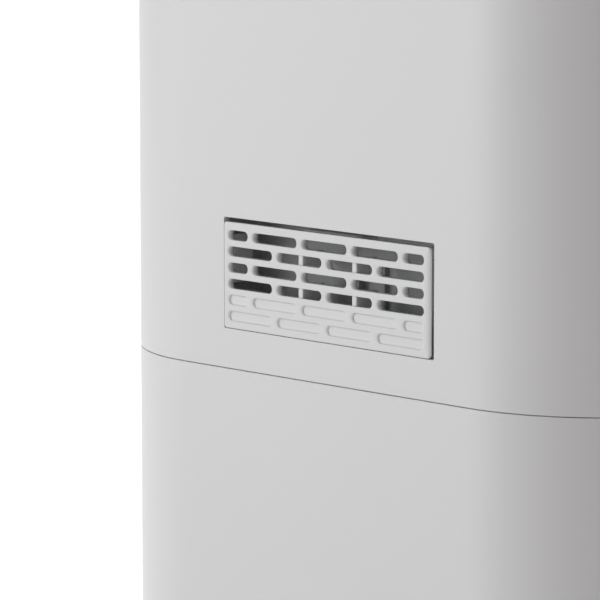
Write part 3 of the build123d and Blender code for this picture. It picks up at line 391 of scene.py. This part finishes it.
# An outline of (radius, y) points turned about an axis along Y
def addTurned(shape, outline, x, z):
    angles = [math.tau * i / meshRules["turnSteps"] for i in range(meshRules["turnSteps"])]
    loops = []
    for radius, y in outline:
        circle = [(x + radius * math.cos(a), y, z + radius * math.sin(a)) for a in angles]
        loops.append(addLoop(shape, circle))
    closeLoops(shape, loops)


# A node's lowest and highest corners in millimetres
def boxMm(node):
    return [Vector(corner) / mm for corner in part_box(node)]


# Geometry Nodes: named sizes go into a tree and one plain mesh comes out

def startTree(name, sizes):
    tree = bpy.data.node_groups.new(name, "GeometryNodeTree")
    for label, kind in {"Geometry": "Geometry", **sizes, "Finish": "Material"}.items():
        tree.interface.new_socket(label, in_out="INPUT", socket_type="NodeSocket" + kind)
    tree.interface.new_socket("Geometry", in_out="OUTPUT", socket_type="NodeSocketGeometry")
    return tree, addNode(tree, "NodeGroupInput").outputs


def endTree(tree, given, shape):
    real = addNode(tree, "GeometryNodeRealizeInstances", links={"Geometry": shape})
    painted = addNode(tree, "GeometryNodeSetMaterial",
                      links={"Geometry": real.outputs["Geometry"], "Material": given["Finish"]})
    addNode(tree, "NodeGroupOutput", links={"Geometry": painted.outputs["Geometry"]})
    return tree


# A row of straight bars with a rounded section
def makeBarRow():
    tree, given = startTree("barRow", {
        "Count": "Int", "Start": "Vector", "Step": "Vector", "Along": "Vector",
        "Width": "Float", "Height": "Float", "Round": "Float", "Tilt": "Float"})
    line = addNode(tree, "GeometryNodeCurvePrimitiveLine", links={"End": given["Along"]})
    lean = addNode(tree, "GeometryNodeSetCurveTilt",
                   links={"Curve": line.outputs["Curve"], "Tilt": given["Tilt"]})
    section = addNode(tree, "GeometryNodeCurvePrimitiveQuadrilateral",
                      links={"Width": given["Width"], "Height": given["Height"]})
    soft = addNode(tree, "GeometryNodeFilletCurve", {"Count": 3, "Limit Radius": True},
                   {"Curve": section.outputs["Curve"], "Radius": given["Round"]}, mode="POLY")
    bar = addNode(tree, "GeometryNodeCurveToMesh", {"Fill Caps": True},
                  {"Curve": lean.outputs["Curve"], "Profile Curve": soft.outputs["Curve"]})
    places = addNode(tree, "GeometryNodeMeshLine",
                     links={"Count": given["Count"], "Start Location": given["Start"],
                            "Offset": given["Step"]})
    row = addNode(tree, "GeometryNodeInstanceOnPoints",
                  links={"Points": places.outputs["Mesh"], "Instance": bar.outputs["Mesh"]})
    return endTree(tree, given, row.outputs["Instances"])


# A tube along a route of straight runs, with its corners bent to a radius
def makeBentTube():
    tree, given = startTree("bentTube", {"Radius": "Float", "Bend": "Float"})
    route = addNode(tree, "GeometryNodeMeshToCurve", links={"Mesh": given["Geometry"]})
    bends = addNode(tree, "GeometryNodeFilletCurve", {"Count": 8, "Limit Radius": True},
                    {"Curve": route.outputs["Curve"], "Radius": given["Bend"]}, mode="POLY")
    section = addNode(tree, "GeometryNodeCurvePrimitiveCircle", {"Resolution": 20},
                      {"Radius": given["Radius"]})
    tube = addNode(tree, "GeometryNodeCurveToMesh", {"Fill Caps": True},
                   {"Curve": bends.outputs["Curve"], "Profile Curve": section.outputs["Curve"]})
    return endTree(tree, given, tube.outputs["Mesh"])


# Blades set round an axis along Y, each bent from its root over a middle point to its tip
def makeBladeRing():
    tree, given = startTree("bladeRing", {
        "Count": "Int", "Centre": "Vector", "Root": "Vector", "Middle": "Vector",
        "Tip": "Vector", "Span": "Float", "Thickness": "Float"})
    spine = addNode(tree, "GeometryNodeCurveQuadraticBezier", {"Resolution": 6},
                    {"Start": given["Root"], "Middle": given["Middle"], "End": given["Tip"]})
    section = addNode(tree, "GeometryNodeCurvePrimitiveQuadrilateral",
                      links={"Width": given["Span"], "Height": given["Thickness"]})
    blade = addNode(tree, "GeometryNodeCurveToMesh", {"Fill Caps": True},
                    {"Curve": spine.outputs["Curve"], "Profile Curve": section.outputs["Curve"]})
    places = addNode(tree, "GeometryNodeMeshLine", {"Offset": (0, 0, 0)},
                     {"Count": given["Count"], "Start Location": given["Centre"]})
    share = addNode(tree, "ShaderNodeMath", {0: math.tau}, {1: given["Count"]}, operation="DIVIDE")
    index = addNode(tree, "GeometryNodeInputIndex").outputs["Index"]
    turn = addNode(tree, "ShaderNodeMath", links={0: index, 1: share.outputs["Value"]},
                   operation="MULTIPLY")
    facing = addNode(tree, "ShaderNodeCombineXYZ", links={"Y": turn.outputs["Value"]})
    ring = addNode(tree, "GeometryNodeInstanceOnPoints",
                   links={"Points": places.outputs["Mesh"], "Instance": blade.outputs["Mesh"],
                          "Rotation": facing.outputs["Vector"]})
    return endTree(tree, given, ring.outputs["Instances"])


barRow, bentTube, bladeRing = makeBarRow(), makeBentTube(), makeBladeRing()


# Runs a tree with sizes in millimetres and degrees, and keeps its result as a plain mesh
def growPiece(name, tree, node, sizes, seed=None, slot=None):
    piece = linkObject(name, seed or bpy.data.meshes.new(name))
    grown = piece.modifiers.new(tree.name, "NODES")
    grown.node_group = tree
    for socket in tree.interface.items_tree:
        if socket.in_out == "OUTPUT" or socket.name not in sizes:
            continue
        value = sizes[socket.name]
        if socket.name == "Tilt":
            value = math.radians(value)
        elif isinstance(value, tuple):
            value = [part * mm for part in value]
        elif isinstance(value, float):
            value = value * mm
        grown[socket.identifier] = value
    finish = next(socket for socket in tree.interface.items_tree if socket.name == "Finish")
    grown[finish.identifier] = finishes[slot or nodeSlot[node]]
    bakeModifiers(piece)
    piece.data.shade_smooth()
    piece.data.set_sharp_from_angle(angle=math.radians(meshRules["sharpAngle"]))
    dress(piece, node, slot)


# A node's shape with joined faces and softened edges
def softenNode(node, width):
    source = frame["nodes"][node].data
    name = node + "Finish"
    mesh = bpy.data.meshes.new(name)
    faces = [face.vertices[:] for face in source.polygons]
    mesh.from_pydata([vert.co for vert in source.vertices], [], faces)
    shape = bmesh.new()
    shape.from_mesh(mesh)
    bmesh.ops.remove_doubles(shape, verts=shape.verts, dist=meshRules["weld"] * mm)
    bmesh.ops.dissolve_limit(shape, angle_limit=math.radians(meshRules["flatAngle"]),
                             verts=shape.verts, edges=shape.edges)
    bmesh.ops.connect_verts_concave(shape, faces=shape.faces)
    shape.to_mesh(mesh)
    shape.free()
    piece = linkObject(name, mesh)
    roundEdges(piece, width)
    smoothShade(piece)
    bakeModifiers(piece)
    dress(piece, node)


# Side vent: a moulded plate with two rows of pockets under four rows of slots.
# Its rear edge stops short and is undercut, so that the gap behind it reads dark.

ventPlate = {
    "thickness": 2.0, "corner": 1.1, "edgeRound": 0.15, "frontGrow": 0.1,
    "rearRound": 2.2, "rearDrop": 0.75, "rearBlend": 2.0, "rearGap": 0.5, "rearUndercut": 1.0,
    "slotLength": 18.9, "slotHeight": 3.0, "bridge": 2.6, "columns": 4, "rowPitch": 5.0,
    "firstRowDrop": 4.0, "slotShift": -0.5, "openRows": 4, "pocketRows": 2,
    "slotRim": {"round": 0.2, "flare": 0.8, "drop": 1.2},
    "pocketRim": {"round": 0.3, "flare": 0.8, "drop": 0.3},
    "pocketDepth": 0.65, "pocketFoot": 0.8, "pocketDish": 4.0, "pocketDishShare": 0.25,
    "ribOffset": 11.5, "ribWidth": 2.0, "ribRecess": 0.8, "ribRound": 0.3, "ribBevelAngle": 25,
    "tabWidth": 25.0, "tabRise": 0.4, "tabRamp": 1.5, "tabFoot": 1.5, "tabSetBack": 2.0,
    "legWall": 1.5, "arcSteps": 10, "roundSteps": 6,
}


# The plate's box, its top edge below the raised tab, and the height of each row of slots
def ventLayout():
    size = ventPlate
    low, high = boxMm("side_vent_cover")
    top = high.z - size["tabRise"]
    rows = range(size["openRows"] + size["pocketRows"])
    return low, high, top, [top - size["firstRowDrop"] - row * size["rowPitch"] for row in rows]


# Points of the plate's outline, each with its outward direction and the width and depth of its
# rounding; the rear edge falls away more than the others
def plateEdge(y0, y1, z0, z1):
    size = ventPlate
    radius, small, steps = size["corner"], size["edgeRound"], size["arcSteps"]
    corners = [(y1 - radius, z0 + radius, -90), (y1 - radius, z1 - radius, 0),
               (y0 + radius, z1 - radius, 90), (y0 + radius, z0 + radius, 180)]
    points = []
    for y, z, start in corners:
        for i in range(steps + 1):
            angle = math.radians(start + 90 * i / steps)
            out = Vector((0, math.cos(angle), math.sin(angle)))
            rear = max(out.y, 0) ** 2
            points.append((Vector((0, y, z)) + out * radius, out,
                           small + (radius - small) * rear,
                           small + (size["rearDrop"] - small) * rear))
    blend = size["rearBlend"]
    straight = [(Vector((0, y1, z)), Vector((0, 1, 0)), size["rearRound"], size["rearDrop"])
                for z in (z0 + radius + blend, z1 - radius - blend)]
    return points[:steps + 1] + straight + points[steps + 1:]


# A slot's outline with its front end moved out, and how far each point faces the front
def pillOutline(y, z, length, grow, front):
    radius = ventPlate["slotHeight"] / 2 + grow
    reach = (length - ventPlate["slotHeight"]) / 2
    steps = ventPlate["arcSteps"]
    points = []
    for centre, start in ((y + reach, -90), (y - reach - front, 90)):
        for i in range(2 * steps + 1):
            angle = math.radians(start + 90 * i / steps)
            across, up = math.cos(angle), math.sin(angle)
            points.append((centre + radius * across, z + radius * up, max(-across, 0)))
    return points


# Centre and length of each slot in a row: full slots, or full slots between two halves
def slotRow(row):
    size = ventPlate
    pitch = size["slotLength"] + size["bridge"]
    inner = size["columns"] - 1
    if row % 2:
        return [((i - inner / 2) * pitch, size["slotLength"]) for i in range(inner + 1)]
    half = (size["slotLength"] - size["bridge"]) / 2
    end = (inner * pitch + half + size["bridge"]) / 2
    full = [((i - (inner - 1) / 2) * pitch, size["slotLength"]) for i in range(inner)]
    return [(-end, half)] + full + [(end, half)]


# One flat face between an outer loop and the holes inside it
def fillBetween(shape, loops):
    edges = []
    for loop in loops:
        for i, vert in enumerate(loop):
            pair = (loop[i - 1], vert)
            edges.append(shape.edges.get(pair) or shape.edges.new(pair))
    bmesh.ops.triangle_fill(shape, use_beauty=True, edges=edges)


# How far out and how deep each ring of a rounded edge lies, as shares of its radius
def edgeRings():
    steps = ventPlate["roundSteps"]
    turns = [math.pi / 2 * i / steps for i in range(steps + 1)]
    return [(1 - math.sin(t), 1 - math.cos(t)) for t in turns]


# Rings from a slot's rim through the plate, or down to the dished floor of a pocket
def pillRings(face, y, z, length, isOpen):
    size = ventPlate
    rim = size["slotRim"] if isOpen else size["pocketRim"]
    radius, flare, drop = rim["round"], rim["flare"], rim["drop"]
    steps = [(out * radius, out * flare, deep * radius, deep * drop) for out, deep in edgeRings()]
    if isOpen:
        steps.append((0, 0, size["thickness"], 0))
    else:
        foot, rise = size["pocketFoot"], size["pocketDepth"] - radius
        dish = min(size["pocketDish"], length * size["pocketDishShare"])
        steps += [(-foot * deep, -dish * deep, radius + rise * (1 - out), drop * out)
                  for out, deep in edgeRings()[1:]]
    return [[(face - depth - more * ahead, a, b)
             for a, b, ahead in pillOutline(y, z, length, grow, front)]
            for grow, front, depth, more in steps]


def makeVentPlate():
    size = ventPlate
    low, high, top, heights = ventLayout()
    face, back = high.x, high.x - size["thickness"]
    middle = (low.y + high.y) / 2 + size["slotShift"]
    edge = plateEdge(low.y - size["frontGrow"], high.y - size["rearGap"], low.z, top)
    rings = [[point - out * width * inset + Vector((face - drop * deep, 0, 0))
              for point, out, width, drop in edge] for inset, deep in edgeRings()]
    rings.append([point - out * size["rearUndercut"] * max(out.y, 0) + Vector((back, 0, 0))
                  for point, out, *_ in edge])
    plate = bmesh.new()
    rim = addRings(plate, rings)
    frontLoops, backLoops = [rim[0]], [rim[-1]]
    for row, z in enumerate(heights):
        isOpen = row < size["openRows"]
        for y, length in slotRow(row):
            loops = addRings(plate, pillRings(face, middle + y, z, length, isOpen))
            frontLoops.append(loops[0])
            if isOpen:
                backLoops.append(loops[-1])
            else:
                plate.faces.new(loops[-1])
    fillBetween(plate, frontLoops)
    fillBetween(plate, backLoops)
    finishShape("sideVentCover", plate, "side_vent_cover")


# Behind the plate: ribs across every second open row, a leg at each end and a snap tab on top
def makeVentRibs():
    size = ventPlate
    low, high, top, heights = ventLayout()
    back = high.x - size["thickness"]
    middle = (low.y + high.y) / 2
    halfRib, reach, wall = size["ribWidth"] / 2, size["rowPitch"] / 2, size["legWall"]
    legs = (low.y + wall, high.y - size["rearGap"] - size["rearUndercut"] - wall)
    ribs = bmesh.new()
    for side, leg in zip((-1, 1), legs):
        y = middle + side * size["ribOffset"]
        for z in heights[1:size["openRows"]:2]:
            addBlock(ribs, (low.x, y - halfRib, z - reach),
                     (high.x - size["ribRecess"], y + halfRib, z + reach))
        addBlock(ribs, (low.x, leg - wall / 2, heights[size["openRows"] - 1]),
                 (back, leg + wall / 2, heights[0]))
    half, ramp, foot = size["tabWidth"] / 2, size["tabRamp"], top - size["tabFoot"]
    raised = size["tabRise"]
    outlines = []
    for x, rise in ((back, 0), (back - size["tabSetBack"], raised), (low.x, raised)):
        corners = [(-half, foot), (half, foot), (half, top), (half - ramp, top + rise),
                   (ramp - half, top + rise), (-half, top)]
        outlines.append([(x, middle + y, z) for y, z in corners])
    tab = addRings(ribs, outlines)
    ribs.faces.new(tab[0])
    ribs.faces.new(tab[-1])
    finishShape("ventSnapRibs", ribs, "side_vent_cover", size["ribRound"], size["ribBevelAngle"])


makeVentPlate()
makeVentRibs()
print("side vent made")


# Rear intake: sloping slats in a frame, and the filter's net behind them

grilleSizes = {"border": 8.0, "edgeRound": 0.8, "slats": 15, "slat": 1.8, "slatDepth": 9.0,
               "slatTilt": -30.0, "slatRound": 0.8, "post": 3.6, "postDepth": 3.7, "lap": 1.0}
netSizes = {"pitch": 2.4, "strand": 0.44, "offset": 0.16}


# A flat rectangular ring with one side along X and its depth along Y, axis 1, or Z, axis 2
def addFrame(shape, low, high, border, depthAxis):
    flat = 1 if depthAxis == 2 else 2
    loops = []
    for inset, depth in ((0, low), (0, high), (border, high), (border, low)):
        corners = [(low[0] + inset, low[flat] + inset), (high[0] - inset, low[flat] + inset),
                   (high[0] - inset, high[flat] - inset), (low[0] + inset, high[flat] - inset)]
        points = []
        for x, other in corners:
            point = [x, other, other]
            point[depthAxis] = depth[depthAxis]
            points.append(point)
        loops.append(addLoop(shape, points))
    closeLoops(shape, loops)


def makeRearGrille():
    size = grilleSizes
    low, high = boxMm("rear_grille")
    ring = bmesh.new()
    addFrame(ring, low, high, size["border"], 1)
    finishShape("grilleFrame", ring, "rear_grille", size["edgeRound"])
    border, lap = size["border"], size["lap"]
    pitch = (high.z - low.z - 2 * border) / size["slats"]
    middle = (low.y + high.y) / 2
    growPiece("grilleSlats", barRow, "rear_grille", {
        "Count": size["slats"], "Step": (0.0, 0.0, pitch),
        "Start": (low.x + border - lap, middle, low.z + border + pitch / 2),
        "Along": (high.x - low.x - 2 * (border - lap), 0.0, 0.0),
        "Width": size["slatDepth"], "Height": size["slat"], "Round": size["slatRound"],
        "Tilt": size["slatTilt"]})
    growPiece("grillePost", barRow, "rear_grille", {
        "Count": 1, "Step": (0.0, 0.0, 0.0),
        "Start": (0.0, middle + size["postDepth"] / 2, low.z + border - lap),
        "Along": (0.0, 0.0, high.z - low.z - 2 * (border - lap)),
        "Width": size["post"], "Height": size["postDepth"], "Round": size["slatRound"],
        "Tilt": 0.0})


# The net is square, so one count of strands serves both ways
def makeFilterNet():
    size = netSizes
    low, high = boxMm("filter_mesh")
    middle = (low.y + high.y) / 2
    count = int((high.x - low.x) / size["pitch"])
    start = ((high.x - low.x) - (count - 1) * size["pitch"]) / 2
    strand = {"Count": count, "Width": size["strand"], "Height": size["strand"],
              "Round": size["strand"] / 2, "Tilt": 0.0}
    growPiece("filterNetWarp", barRow, "filter_mesh", {
        **strand, "Start": (low.x + start, middle - size["offset"], low.z),
        "Step": (size["pitch"], 0.0, 0.0), "Along": (0.0, 0.0, high.z - low.z)})
    growPiece("filterNetWeft", barRow, "filter_mesh", {
        **strand, "Start": (low.x, middle + size["offset"], low.z + start),
        "Step": (0.0, 0.0, size["pitch"]), "Along": (high.x - low.x, 0.0, 0.0)})


makeRearGrille()
makeFilterNet()
print("rear intake made")


# Air outlet: thin bars in a frame under the louvre

guardSizes = {"border": 4.0, "edgeRound": 0.5, "gaps": 16, "bar": 2.0, "barRound": 0.9, "lap": 1.0}


def makeOutletGuard():
    size = guardSizes
    low, high = boxMm("outlet_guard")
    ring = bmesh.new()
    addFrame(ring, low, high, size["border"], 2)
    finishShape("guardFrame", ring, "outlet_guard", size["edgeRound"])
    border, lap, bar = size["border"], size["lap"], size["bar"]
    pitch = (high.x - low.x - 2 * border + bar) / size["gaps"]
    growPiece("guardBars", barRow, "outlet_guard", {
        "Count": size["gaps"] - 1, "Step": (pitch, 0.0, 0.0),
        "Start": (low.x + border + pitch - bar / 2, low.y + border - lap, (low.z + high.z) / 2),
        "Along": (0.0, high.y - low.y - 2 * (border - lap), 0.0),
        "Width": bar, "Height": high.z - low.z, "Round": size["barRound"], "Tilt": 0.0})


makeOutletGuard()
print("outlet guard made")


# Coils: thin fins between end plates, on tubes that run to and fro through them

coilSizes = {"rows": 4, "stub": 4.0, "finPitch": 2.0, "fin": 0.25, "finRound": 0.1,
             "endPlate": 1.4, "tube": 4.0, "bendGap": 1.0}


# Loose edges along routes of straight runs, for tubes to follow
def routeMesh(name, routes):
    points, edges = [], []
    for route in routes:
        edges += [(len(points) + i, len(points) + i + 1) for i in range(len(route) - 1)]
        points += [Vector(point) * mm for point in route]
    mesh = bpy.data.meshes.new(name)
    mesh.from_pydata(points, edges, [])
    return mesh


def makeCoil(name):
    size = coilSizes
    fins, tubes = name + "_fins", name + "_tubes"
    low, high = boxMm(fins)
    middle = (low.y + high.y) / 2
    sheet = {"Along": (0.0, 0.0, high.z - low.z), "Height": high.y - low.y,
             "Round": size["finRound"], "Tilt": 0.0}
    finPitch, endPlate = size["finPitch"], size["endPlate"]
    count = int((high.x - low.x - 2 * endPlate) / finPitch)
    growPiece(name + "Fins", barRow, fins, {
        **sheet, "Count": count, "Width": size["fin"], "Step": (finPitch, 0.0, 0.0),
        "Start": (-(count - 1) * finPitch / 2, middle, low.z)})
    growPiece(name + "EndPlates", barRow, fins, {
        **sheet, "Count": 2, "Width": endPlate, "Step": (high.x - low.x - endPlate, 0.0, 0.0),
        "Start": (low.x + endPlate / 2, middle, low.z)})

    pitch = (high.z - low.z) / size["rows"]
    bend = (pitch - size["bendGap"]) / 2
    bottom = boxMm(tubes)[0].z + size["tube"]
    heights = [bottom + row * pitch for row in range(size["rows"])]
    end = high.x + size["stub"]
    turn = end + bend
    route = [(-end, middle, bottom)]
    for lower, upper in zip(heights, heights[1:]):
        route += [(turn, middle, lower), (turn, middle, upper)]
        turn = -turn
    route.append((-end, middle, heights[-1]))
    growPiece(name + "Tubes", bentTube, tubes, {"Radius": size["tube"], "Bend": bend},
              routeMesh(name + "Tubes", [route]))


makeCoil("evaporator")
makeCoil("condenser")
print("coils made")


# Refrigerant pipes: the corners of their runs, in millimetres

pipeRuns = {
    "suction_pipe": {"radius": 4.0, "bend": 12.0, "routes": [
        [(-92, 90, 381), (-145.5, 90, 381), (-145.5, -80.5, 381), (-38.5, -80.5, 381),
         (-38.5, -80.5, 301)],
        [(-38.5, -80.5, 235), (-38.5, -80.5, 215), (-61.5, -80.5, 215)]]},
    "discharge_pipe": {"radius": 4.0, "bend": 12.0, "routes": [
        [(-133.5, -62.5, 348), (-133.5, -62.5, 369), (-133.5, 64, 369), (-92, 64, 369)]]},
    "capillary_tube": {"radius": 1.5, "bend": 10.0, "routes": [
        [(-137.5, 24.5, 285), (-137.5, 24.5, 311), (-137.5, 90, 311), (-137.5, 90, 219),
         (-92, 90, 219)]]},
}
for node, run in pipeRuns.items():
    growPiece(node + "Bent", bentTube, node, {"Radius": run["radius"], "Bend": run["bend"]},
              routeMesh(node + "Bent", run["routes"]))
print("pipes bent:", len(pipeRuns))


# Fan: a wheel of bent blades between a disc and a ring, and its ribbed motor

wheelSizes = {"blades": 24, "bladeLength": 12.0, "blade": 1.2, "bendInset": 4.0, "bendRise": 0.5,
              "tipInset": 0.6, "tipRise": 6.0, "disc": 2.0, "hub": 10.0, "bore": 4.0, "lip": 0.4}
motorSizes = {"ribs": 12, "rib": 2.0, "ribLength": 22.0, "bore": 4.05, "wall": 2.0, "pinhole": 0.2,
              "lip": 0.4}


# Where the fan's axis lies in X and Z
def fanAxis():
    low, high = boxMm("fan_impeller")
    return (low.x + high.x) / 2, (low.z + high.z) / 2


def makeFanWheel():
    size = wheelSizes
    low, high = boxMm("fan_impeller")
    x, z = fanAxis()
    middle = (low.y + high.y) / 2
    radius = (high.x - low.x) / 2
    inner, disc = radius - size["bladeLength"], size["disc"]
    hub, bore = size["hub"], size["bore"]
    discEnd, ringStart = low.y + disc, high.y - disc
    wheel = bmesh.new()
    addTurned(wheel, [(bore, low.y), (radius, low.y), (radius, discEnd), (hub, discEnd),
                      (hub, middle), (bore, middle)], x, z)
    addTurned(wheel, [(inner, ringStart), (radius, ringStart), (radius, high.y),
                      (inner, high.y)], x, z)
    finishShape("fanWheel", wheel, "fan_impeller", size["lip"])
    growPiece("fanBlades", bladeRing, "fan_impeller", {
        "Count": size["blades"], "Centre": (x, middle, z), "Root": (inner, 0.0, 0.0),
        "Middle": (radius - size["bendInset"], 0.0, size["bendRise"]),
        "Tip": (radius - size["tipInset"], 0.0, size["tipRise"]),
        "Span": high.y - low.y - disc, "Thickness": size["blade"]})


def makeFanMotor():
    size = motorSizes
    low, high = boxMm("fan_motor")
    x, z = fanAxis()
    rib, bore, wall, pinhole = size["rib"], size["bore"], size["wall"], size["pinhole"]
    radius = (high.x - low.x) / 2 - rib
    case = bmesh.new()
    addTurned(case, [(pinhole, low.y), (radius - wall, low.y), (radius, low.y + wall),
                     (radius, high.y), (bore, high.y), (bore, low.y + wall),
                     (pinhole, low.y + wall)], x, z)
    finishShape("fanMotorCase", case, "fan_motor", size["lip"])
    growPiece("fanMotorRibs", bladeRing, "fan_motor", {
        "Count": size["ribs"], "Centre": (x, (low.y + high.y) / 2, z),
        "Root": (radius - rib, 0.0, 0.0), "Middle": (radius, 0.0, 0.0),
        "Tip": (radius + rib, 0.0, 0.0), "Span": size["ribLength"], "Thickness": rib})


makeFanWheel()
makeFanMotor()
print("fan made")


# Control panel: a small clear lamp lens behind each button

lampSizes = {"across": 2.4, "proud": 0.25, "sunk": 0.6, "behind": 11.5}


def makeLamps():
    size = lampSizes
    buttons = [boxMm(name + "_button") for name in ("power", "mode", "humidity", "timer")]
    centres = sorted(((low + high) / 2 for low, high in buttons), key=lambda centre: centre.x)
    step = (centres[-1] - centres[0]) / (len(centres) - 1)
    foot = boxMm("control_panel")[1].z - size["sunk"]
    growPiece("panelLamps", barRow, "control_panel", {
        "Count": len(centres), "Step": (step.x, 0.0, 0.0),
        "Start": (centres[0].x, centres[0].y + size["behind"], foot),
        "Along": (0.0, 0.0, size["sunk"] + size["proud"]), "Width": size["across"],
        "Height": size["across"], "Round": size["across"] / 2, "Tilt": 0.0}, slot="clear_window")


makeLamps()
print("panel lamps made")


# Mouldings that keep their shape, with the radius of their edges in millimetres

edgeRadius = {
    "upper_housing": 0.12, "base_housing": 0.12, "top_cover": 0.4, "tank_front_panel": 0.4,
    "tank_bucket": 0.6, "tank_lid": 0.4, "level_window": 0.2, "filter_frame": 0.5,
    "louvre": 0.5, "carry_handle": 1.5, "control_panel": 0.3, "appliance_inlet": 0.5,
    "rubber_feet": 0.6, "tank_float": 1.0, "sensor_box": 0.4, "machine_deck": 0.5,
    "tank_switch": 0.5, "power_button": 0.3, "mode_button": 0.3, "humidity_button": 0.3,
    "timer_button": 0.3, "inlet_pins": 0.3, "drip_tray": 0.5, "electronics_box": 0.5,
    "electronics_lid": 0.5,
}
for node, width in edgeRadius.items():
    softenNode(node, width)
print("mouldings softened:", len(edgeRadius))

# The nodes that still show take their finish as they are
for node, part in frame["nodes"].items():
    if not part.hide_render:
        part.data.materials.clear()
        part.data.materials.append(finishes[nodeSlot[node]])


# Floor, light and camera, in metres and watts

floorSizes = {"half": 30.0, "colour": "#f4f4f4", "roughness": 0.8, "glow": 0.8}
roomGlow = {"below": 0.42, "above": 0.28, "tint": (1.05, 1.0, 1.0, 1)}
lightAim = Vector((0.17, 0.0, 0.2))
areaLights = {
    "softKey": {"place": (1.424, -1.071, 0.611), "size": 1.4, "power": 16.0,
                "tint": (0.96, 1.0, 1.0), "shines": True},
    "backFill": {"place": (-1.5, 1.3, 1.1), "size": 1.6, "power": 24.0,
                 "tint": (1.0, 0.99, 0.97), "shines": False},
}
viewPoint = {"lens": 240.0, "sensor": 36.0, "azimuth": 136.17, "pitch": 8.12,
             "place": (0.9964, 0.8517, 0.3749)}


# A pale floor with a glow of its own, which sends no diffuse light up and casts no shadow
def makeFloor():
    half = floorSizes["half"]
    corners = [(-half, -half, 0), (half, -half, 0), (half, half, 0), (-half, half, 0)]
    mesh = bpy.data.meshes.new("paleFloor")
    mesh.from_pydata(corners, [], [(0, 1, 2, 3)])
    floor = linkObject("paleFloor", mesh)
    material, _, shader, _ = startMaterial("paleFloorPaint", floorSizes["colour"])
    shader.inputs["Roughness"].default_value = floorSizes["roughness"]
    shader.inputs["Emission Color"].default_value = (1, 1, 1, 1)
    shader.inputs["Emission Strength"].default_value = floorSizes["glow"]
    mesh.materials.append(material)
    floor.visible_diffuse = False
    floor.visible_shadow = False


# An even room that is a little brighter below than above
def makeRoom():
    world = bpy.data.worlds.new("softRoom")
    bpy.context.scene.world = world
    world.use_nodes = True
    tree = world.node_tree
    coords = addNode(tree, "ShaderNodeTexCoord").outputs["Generated"]
    height = addNode(tree, "ShaderNodeSeparateXYZ", links={"Vector": coords}).outputs["Z"]
    background = tree.nodes["Background"]
    background.inputs["Color"].default_value = roomGlow["tint"]
    addNode(tree, "ShaderNodeMapRange",
            {"From Min": -1.0, "To Min": roomGlow["below"], "To Max": roomGlow["above"]},
            {"Value": height}, background.inputs["Strength"])


def makeLights():
    for name, given in areaLights.items():
        lamp = bpy.data.lights.new(name, "AREA")
        lamp.size, lamp.energy, lamp.color = given["size"], given["power"], given["tint"]
        light = linkObject(name, lamp)
        light.location = given["place"]
        aim = lightAim - light.location
        light.rotation_euler = aim.to_track_quat("-Z", "Y").to_euler()
        light.visible_camera = False
        light.visible_glossy = given["shines"]


def makeCamera():
    camera = linkObject("photoView", bpy.data.cameras.new("photoView"))
    camera.data.lens = viewPoint["lens"]
    camera.data.sensor_width = viewPoint["sensor"]
    camera.location = viewPoint["place"]
    tilt, turn = math.radians(90 - viewPoint["pitch"]), math.radians(viewPoint["azimuth"])
    camera.rotation_euler = Euler((tilt, 0, turn))
    bpy.context.scene.camera = camera


makeFloor()
makeRoom()
makeLights()
makeCamera()
bpy.context.scene.view_settings.view_transform = "Standard"
print("stage and camera placed")
